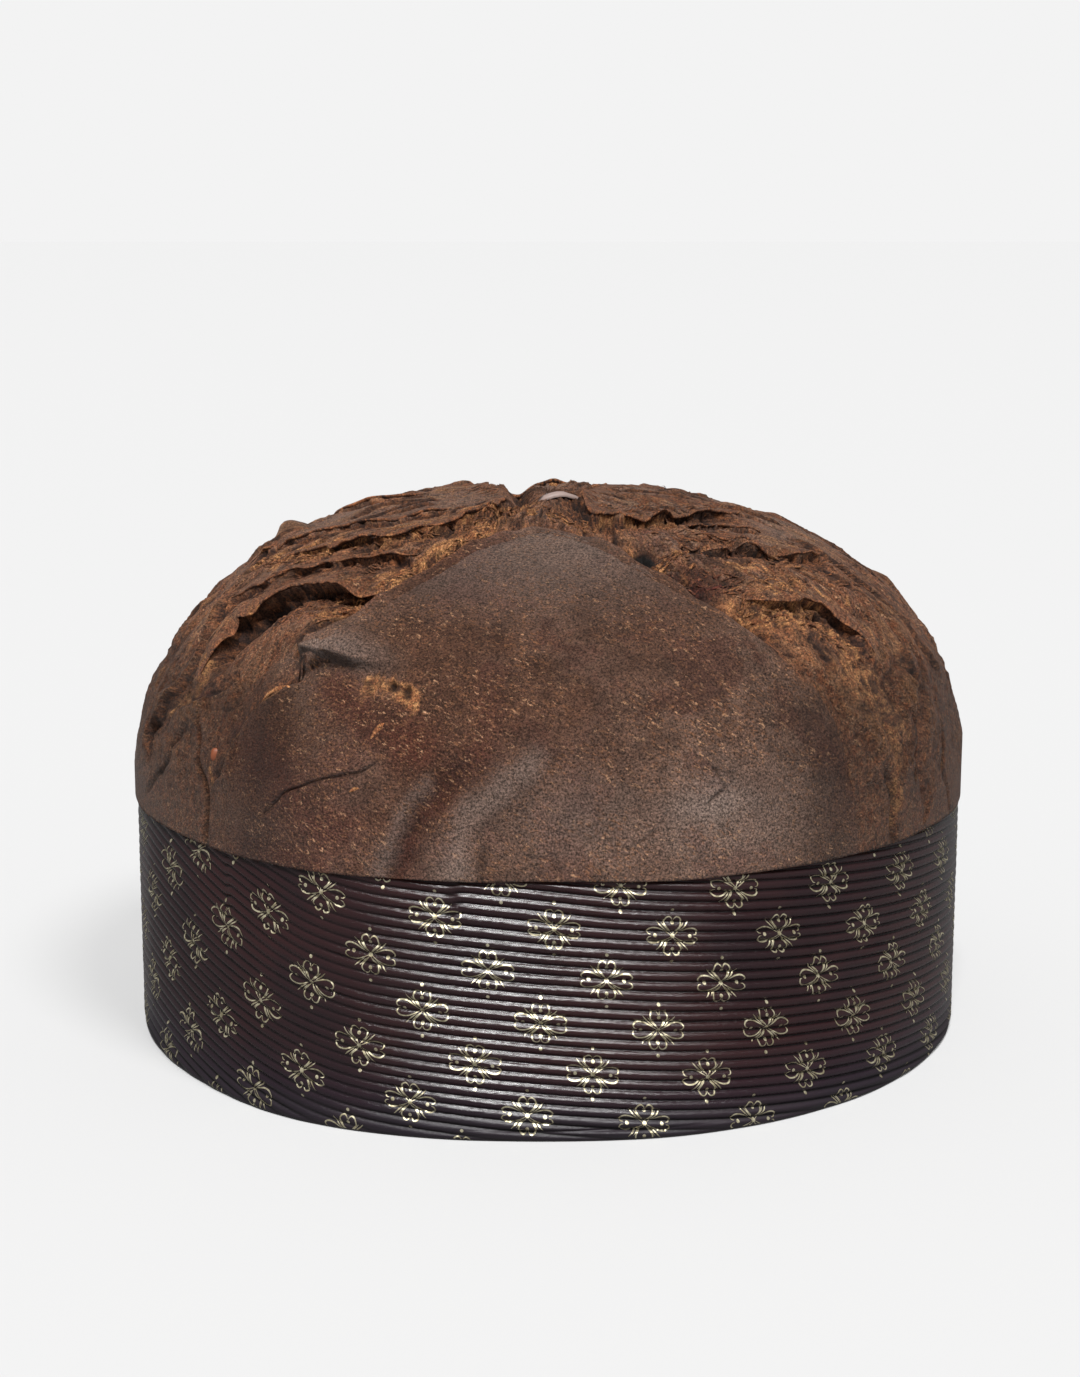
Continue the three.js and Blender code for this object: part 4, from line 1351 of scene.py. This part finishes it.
def wall_points(degrees, z, lift=0.0):
    """Points of the outside of the wall: ribs on a cylinder with a rounded bottom corner. Noise makes
    the ribs wander, presses them flatter in places and dents the wall."""
    level = (z - climb(degrees) - rib_kinks(degrees, z)) / spread(degrees)
    angle = np.radians(degrees)
    across, back = CASE_RADIUS * np.sin(angle), -CASE_RADIUS * np.cos(angle)
    level = level + 0.08 * noise(across, back, z, 17, 80)
    pressed = 1.0 - 0.45 * hump(degrees + 28.0, 13.0) + 0.2 * noise(across, back, 3 * z, 14, 81)
    crest = rib_profile(level / RIB_PITCH)
    ribs = RIB_DEPTH * (crest - 0.7) * pressed
    dents = 0.125 * noise(across, back, z, 30, 82)
    crease = -0.7 * hump(z - 2.6, 0.35) * hump(degrees - 5.0, 11.0)
    radius = CASE_RADIUS + ribs * smooth(z, 0.0, 2.5) + dents + crease - corner_inset(z) + lift
    return around(degrees, radius, z), 1.0 - crest


print(f"{CASE_HEIGHT / RIB_PITCH:.0f} ribs from the table to the rim")

# %% Halves of the paper case
WALL_ROWS = 300
WALL_COLUMNS = 316
HALVES = {"case_front": -90.0, "case_back": 90.0}
INNER_CASE_ROWS = [(CASE_RADIUS - CASE_WALL, CASE_HEIGHT), (CASE_RADIUS - CASE_WALL, CASE_FLOOR),
                   (0.0, CASE_FLOOR)]


def case_half(name, start):
    """Half of the case: the underside, the wall, the rim, the inside of the wall and the floor."""
    degrees = wrap_degrees(start + np.linspace(0.0, 180.0, WALL_COLUMNS))
    z = np.linspace(0.0, CASE_HEIGHT, WALL_ROWS)
    wall, groove = wall_points(degrees[None, :], z[:, None] + 0 * degrees[None, :])
    middle = around(degrees, 0.0, 0.0)[None]
    inner = np.stack([around(degrees, r, h) for r, h in INNER_CASE_ROWS])
    points = np.concatenate([middle, wall, inner])
    faces = grid_faces(len(points), WALL_COLUMNS)
    # How deep each point lies in a groove, for the painted shade there.
    deep = np.zeros(points.shape[:2])
    deep[1 : 1 + WALL_ROWS] = groove
    piece = make_mesh(name, points.reshape(-1, 3), faces, ribbed_paper, {"groove": deep})
    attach(piece, "root")
    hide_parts("paper_case")
    return piece


for half_name, half_start in HALVES.items():
    case_half(half_name, half_start)

# %% [markdown]
# ## The printed flowers
# The print is a common ornament: a flower of four heart-shaped petals with short strokes between them
# and a dot above and below, in staggered rows. It could be a pattern in the paper's material. Thin
# ribbons of mesh a few hundredths of a millimetre off the paper stay sharp at any distance, so the
# flower is drawn once on a flat sheet and then draped over the ribs at every place of the lattice. The
# rows don't close round the case. They meet at the back, where a real case's paper is joined.

# %% Ribbons, curves and dots on a flat sheet
def ribbon(centre, half_width):
    """A flat ribbon along a line of points (n, 2): each point is moved to both sides, square to the
    way the line runs. Gives points and triangles."""
    way = np.gradient(centre, axis=0)
    way /= np.linalg.norm(way, axis=1, keepdims=True)
    aside = np.stack([-way[:, 1], way[:, 0]], axis=1) * np.asarray(half_width)[:, None]
    points = np.concatenate([centre - aside, centre + aside])
    count = len(centre)
    low = np.arange(count - 1)
    first = np.stack([low, low + 1, low + count + 1], axis=1)
    second = np.stack([low, low + count + 1, low + count], axis=1)
    return points, np.concatenate([first, second])


def curve(points, thick, samples=6):
    """A smooth tapered line through a few points: each stretch is a Catmull-Rom cubic of its two
    ends and their neighbours, and the line swells in its middle."""
    points = np.array(points, float)
    ends = np.concatenate([2 * points[:1] - points[1:2], points, 2 * points[-1:] - points[-2:-1]])
    share = np.linspace(0.0, 1.0, samples, endpoint=False)[None, :, None]
    p0, p1, p2, p3 = (ends[k : len(ends) - 3 + k][:, None] for k in range(4))
    cubic = p1 + 0.5 * share * (p2 - p0 + share * (2 * p0 - 5 * p1 + 4 * p2 - p3
                                                   + share * (3 * (p1 - p2) + p3 - p0)))
    line = np.concatenate([cubic.reshape(-1, 2), points[-1:]])
    way = np.linspace(0.0, 1.0, len(line))
    return ribbon(line, 0.035 + thick * np.sin(np.pi * way) ** 0.8)


def dot(x, y, radius):
    """A round dot: a fan of eight triangles."""
    angle = np.arange(8) * np.pi / 4
    rim = np.stack([x + radius * np.cos(angle), y + radius * np.sin(angle)], axis=1)
    step = np.arange(8)
    faces = np.stack([np.full(8, 8), step, (step + 1) % 8], axis=1)
    return np.concatenate([rim, [[x, y]]]), faces


def joined(parts):
    """Several flat shapes as one list of points and one of triangles."""
    offsets = np.cumsum([0] + [len(points) for points, _ in parts[:-1]])
    faces = [faces + offset for (_, faces), offset in zip(parts, offsets, strict=True)]
    return np.concatenate([points for points, _ in parts]), np.concatenate(faces)


print("a short curve has", len(curve([(0, 0), (1, 1), (2, 1)], 0.1)[1]), "triangles")

# %% One flower
UPRIGHT_PETAL = [(0.15, 0.4), (0.8, 1.3), (1.7, 2.3), (1.95, 3.2), (1.6, 4.1), (0.85, 4.4), (0.3, 4.0),
                 (0.1, 3.5)]
SIDE_PETAL = [(0.4, 0.2), (1.8, 1.0), (3.4, 1.7), (4.9, 1.75), (5.75, 1.1), (5.5, 0.4), (4.9, 0.25)]
LONG_STROKE = [(1.3, 1.0), (2.6, 2.1), (3.7, 3.3)]
SHORT_STROKE = [(0.6, 0.8), (1.5, 1.7), (2.5, 2.9)]
DOTS = [(0, 5.9, 0.4), (0, -5.9, 0.4), (0, 2.95, 0.42), (0, -2.95, 0.42), (4.0, 0, 0.42), (-4.0, 0, 0.42),
        (0, 0, 0.5)]


def flower():
    """Four petals, each of two mirrored curled lines, two strokes in each corner, and dots."""
    parts = [dot(*place) for place in DOTS]
    for side in (-1, 1):
        for level in (-1, 1):
            corner = np.array([side, level])
            parts.append(curve(np.array(UPRIGHT_PETAL) * corner, 0.13))
            parts.append(curve(np.array(SIDE_PETAL) * corner, 0.13))
            parts.append(curve(np.array(LONG_STROKE) * corner, 0.1, 4))
            parts.append(curve(np.array(SHORT_STROKE) * corner, 0.07, 4))
    return joined(parts)


print("one flower has", len(flower()[1]), "triangles")

# %% Flowers all round the case
PRINT_RADIUS = 105.5
FLOWERS_ROUND = 25
ROW_PITCH = 10.9
ROW_SHIFT = -1.5
FIRST_ROW = 37.2
FIRST_COLUMN = 1.1
PRINT_LIFT = 0.05
PRINT_LOWEST = 0.4
PRINT_HIGHEST = CASE_HEIGHT - 0.3


def printed_flowers():
    """The flower at every place of a staggered lattice on the paper, draped over the ribs. Triangles
    that would run over the rim or the base are left out."""
    flat_points, flat_faces = flower()
    pitch = 2 * np.pi * PRINT_RADIUS / FLOWERS_ROUND
    rows = np.arange(-3, 8)
    columns = np.arange(FLOWERS_ROUND)
    row, column = (grid.ravel() for grid in np.meshgrid(rows, columns))
    across = FIRST_COLUMN + pitch * (column + 0.5 * (row % 2)) + ROW_SHIFT * row
    level = FIRST_ROW - ROW_PITCH * row
    across = across[:, None] + flat_points[None, :, 0]
    level = level[:, None] + flat_points[None, :, 1]
    degrees = wrap_degrees(np.degrees(across / PRINT_RADIUS))
    z = climb(degrees) + level * spread(degrees)
    points, _ = wall_points(degrees, np.clip(z, 0.0, CASE_HEIGHT), PRINT_LIFT)
    faces = flat_faces[None] + (np.arange(len(row)) * len(flat_points))[:, None, None]
    faces = faces.reshape(-1, 3)
    inside = ((z > PRINT_LOWEST) & (z < PRINT_HIGHEST)).ravel()
    torn_apart = np.ptp(degrees.ravel()[faces], axis=1) > 90
    kept = faces[inside[faces].all(axis=1) & ~torn_apart]
    used, renumbered = np.unique(kept, return_inverse=True)
    points = points.reshape(-1, 3)[used]
    piece = make_mesh("case_print", points, renumbered.reshape(-1, 3), pale_gold_print)
    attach(piece, "root")
    return piece


printed_flowers()

# %% [markdown]
# ## Studio
# A plain pale floor, a soft world light all round and two broad lights from above: a strong one from
# the front and a weak one from the right. The camera stands where the photograph's did: its distance,
# height and lens were found from the width of the rim, the curve of the base and the case's height.

# %% Floor and light
FLOOR_HALF = 30000.0
FLOOR_GREY = 0.665
WORLD_SEEN = 0.896
WORLD_GIVEN = 0.22
SUNS = {
    "key": {"strength": 3.5, "width": 14, "elevation": 55, "azimuth": -2},
    "fill": {"strength": 0.95, "width": 16, "elevation": 52, "azimuth": 34},
}


def pale_floor():
    """A wide flat floor under the case, of one pale grey. It isn't part of the object."""
    corners = FLOOR_HALF * np.array([(-1, -1, 0), (1, -1, 0), (1, 1, 0), (-1, 1, 0)])
    material, _, shader, _ = new_material("pale_floor")
    shader.inputs["Base Color"].default_value = (FLOOR_GREY, FLOOR_GREY, FLOOR_GREY, 1.0)
    shader.inputs["Roughness"].default_value = 0.9
    shader.inputs["Specular IOR Level"].default_value = 0.1
    floor = make_mesh("floor", corners, [[0, 1, 2, 3]], material)
    floor.visible_glossy = False


def soft_world():
    """A plain world: one brightness where the camera sees it, another for the light it gives."""
    world = bpy.data.worlds.new("studio")
    world.use_nodes = True
    tree = world.node_tree
    background = tree.nodes["Background"]
    background.inputs["Color"].default_value = (1.0, 1.0, 1.0, 1.0)
    seen = add_node(tree, "ShaderNodeLightPath").outputs["Is Camera Ray"]
    inputs = {"Value": seen, "To Min": WORLD_GIVEN, "To Max": WORLD_SEEN}
    strength = add_node(tree, "ShaderNodeMapRange", inputs)
    tree.links.new(strength.outputs["Result"], background.inputs["Strength"])
    bpy.context.scene.world = world


def sun(name, strength, width, elevation, azimuth):
    """A broad light from far away, with angles in degrees: how wide it looks, its elevation above the
    floor, and its azimuth from the front to the right."""
    light = bpy.data.lights.new(name, "SUN")
    light.energy = strength
    light.angle = np.radians(width)
    lamp = bpy.data.objects.new(name, light)
    lamp.rotation_euler = (np.radians(90 - elevation), 0.0, np.radians(azimuth))
    bpy.context.scene.collection.objects.link(lamp)


pale_floor()
soft_world()
for sun_name, setting in SUNS.items():
    sun(sun_name, **setting)

# %% Camera
PHOTO_SIZE = (1080, 1377)
FOCAL_PIXELS = 2424.0
SENSOR = 36.0
CAMERA_AT = (-2.0, -615.0, 200.7)
CAMERA_DOWN = 10.82
camera_data = bpy.data.cameras.new("camera")
camera_data.sensor_width = SENSOR
camera_data.lens = FOCAL_PIXELS / max(PHOTO_SIZE) * SENSOR
camera_data.clip_end = 200.0
camera = bpy.data.objects.new("camera", camera_data)
camera.location = [value * MM for value in CAMERA_AT]
camera.rotation_euler = (np.radians(90.0 - CAMERA_DOWN), 0.0, 0.0)
bpy.context.scene.collection.objects.link(camera)
bpy.context.scene.camera = camera
bpy.context.scene.view_settings.view_transform = "Standard"
print(f"camera {-CAMERA_AT[1]:.0f} mm in front, lens {camera_data.lens:.1f} mm")
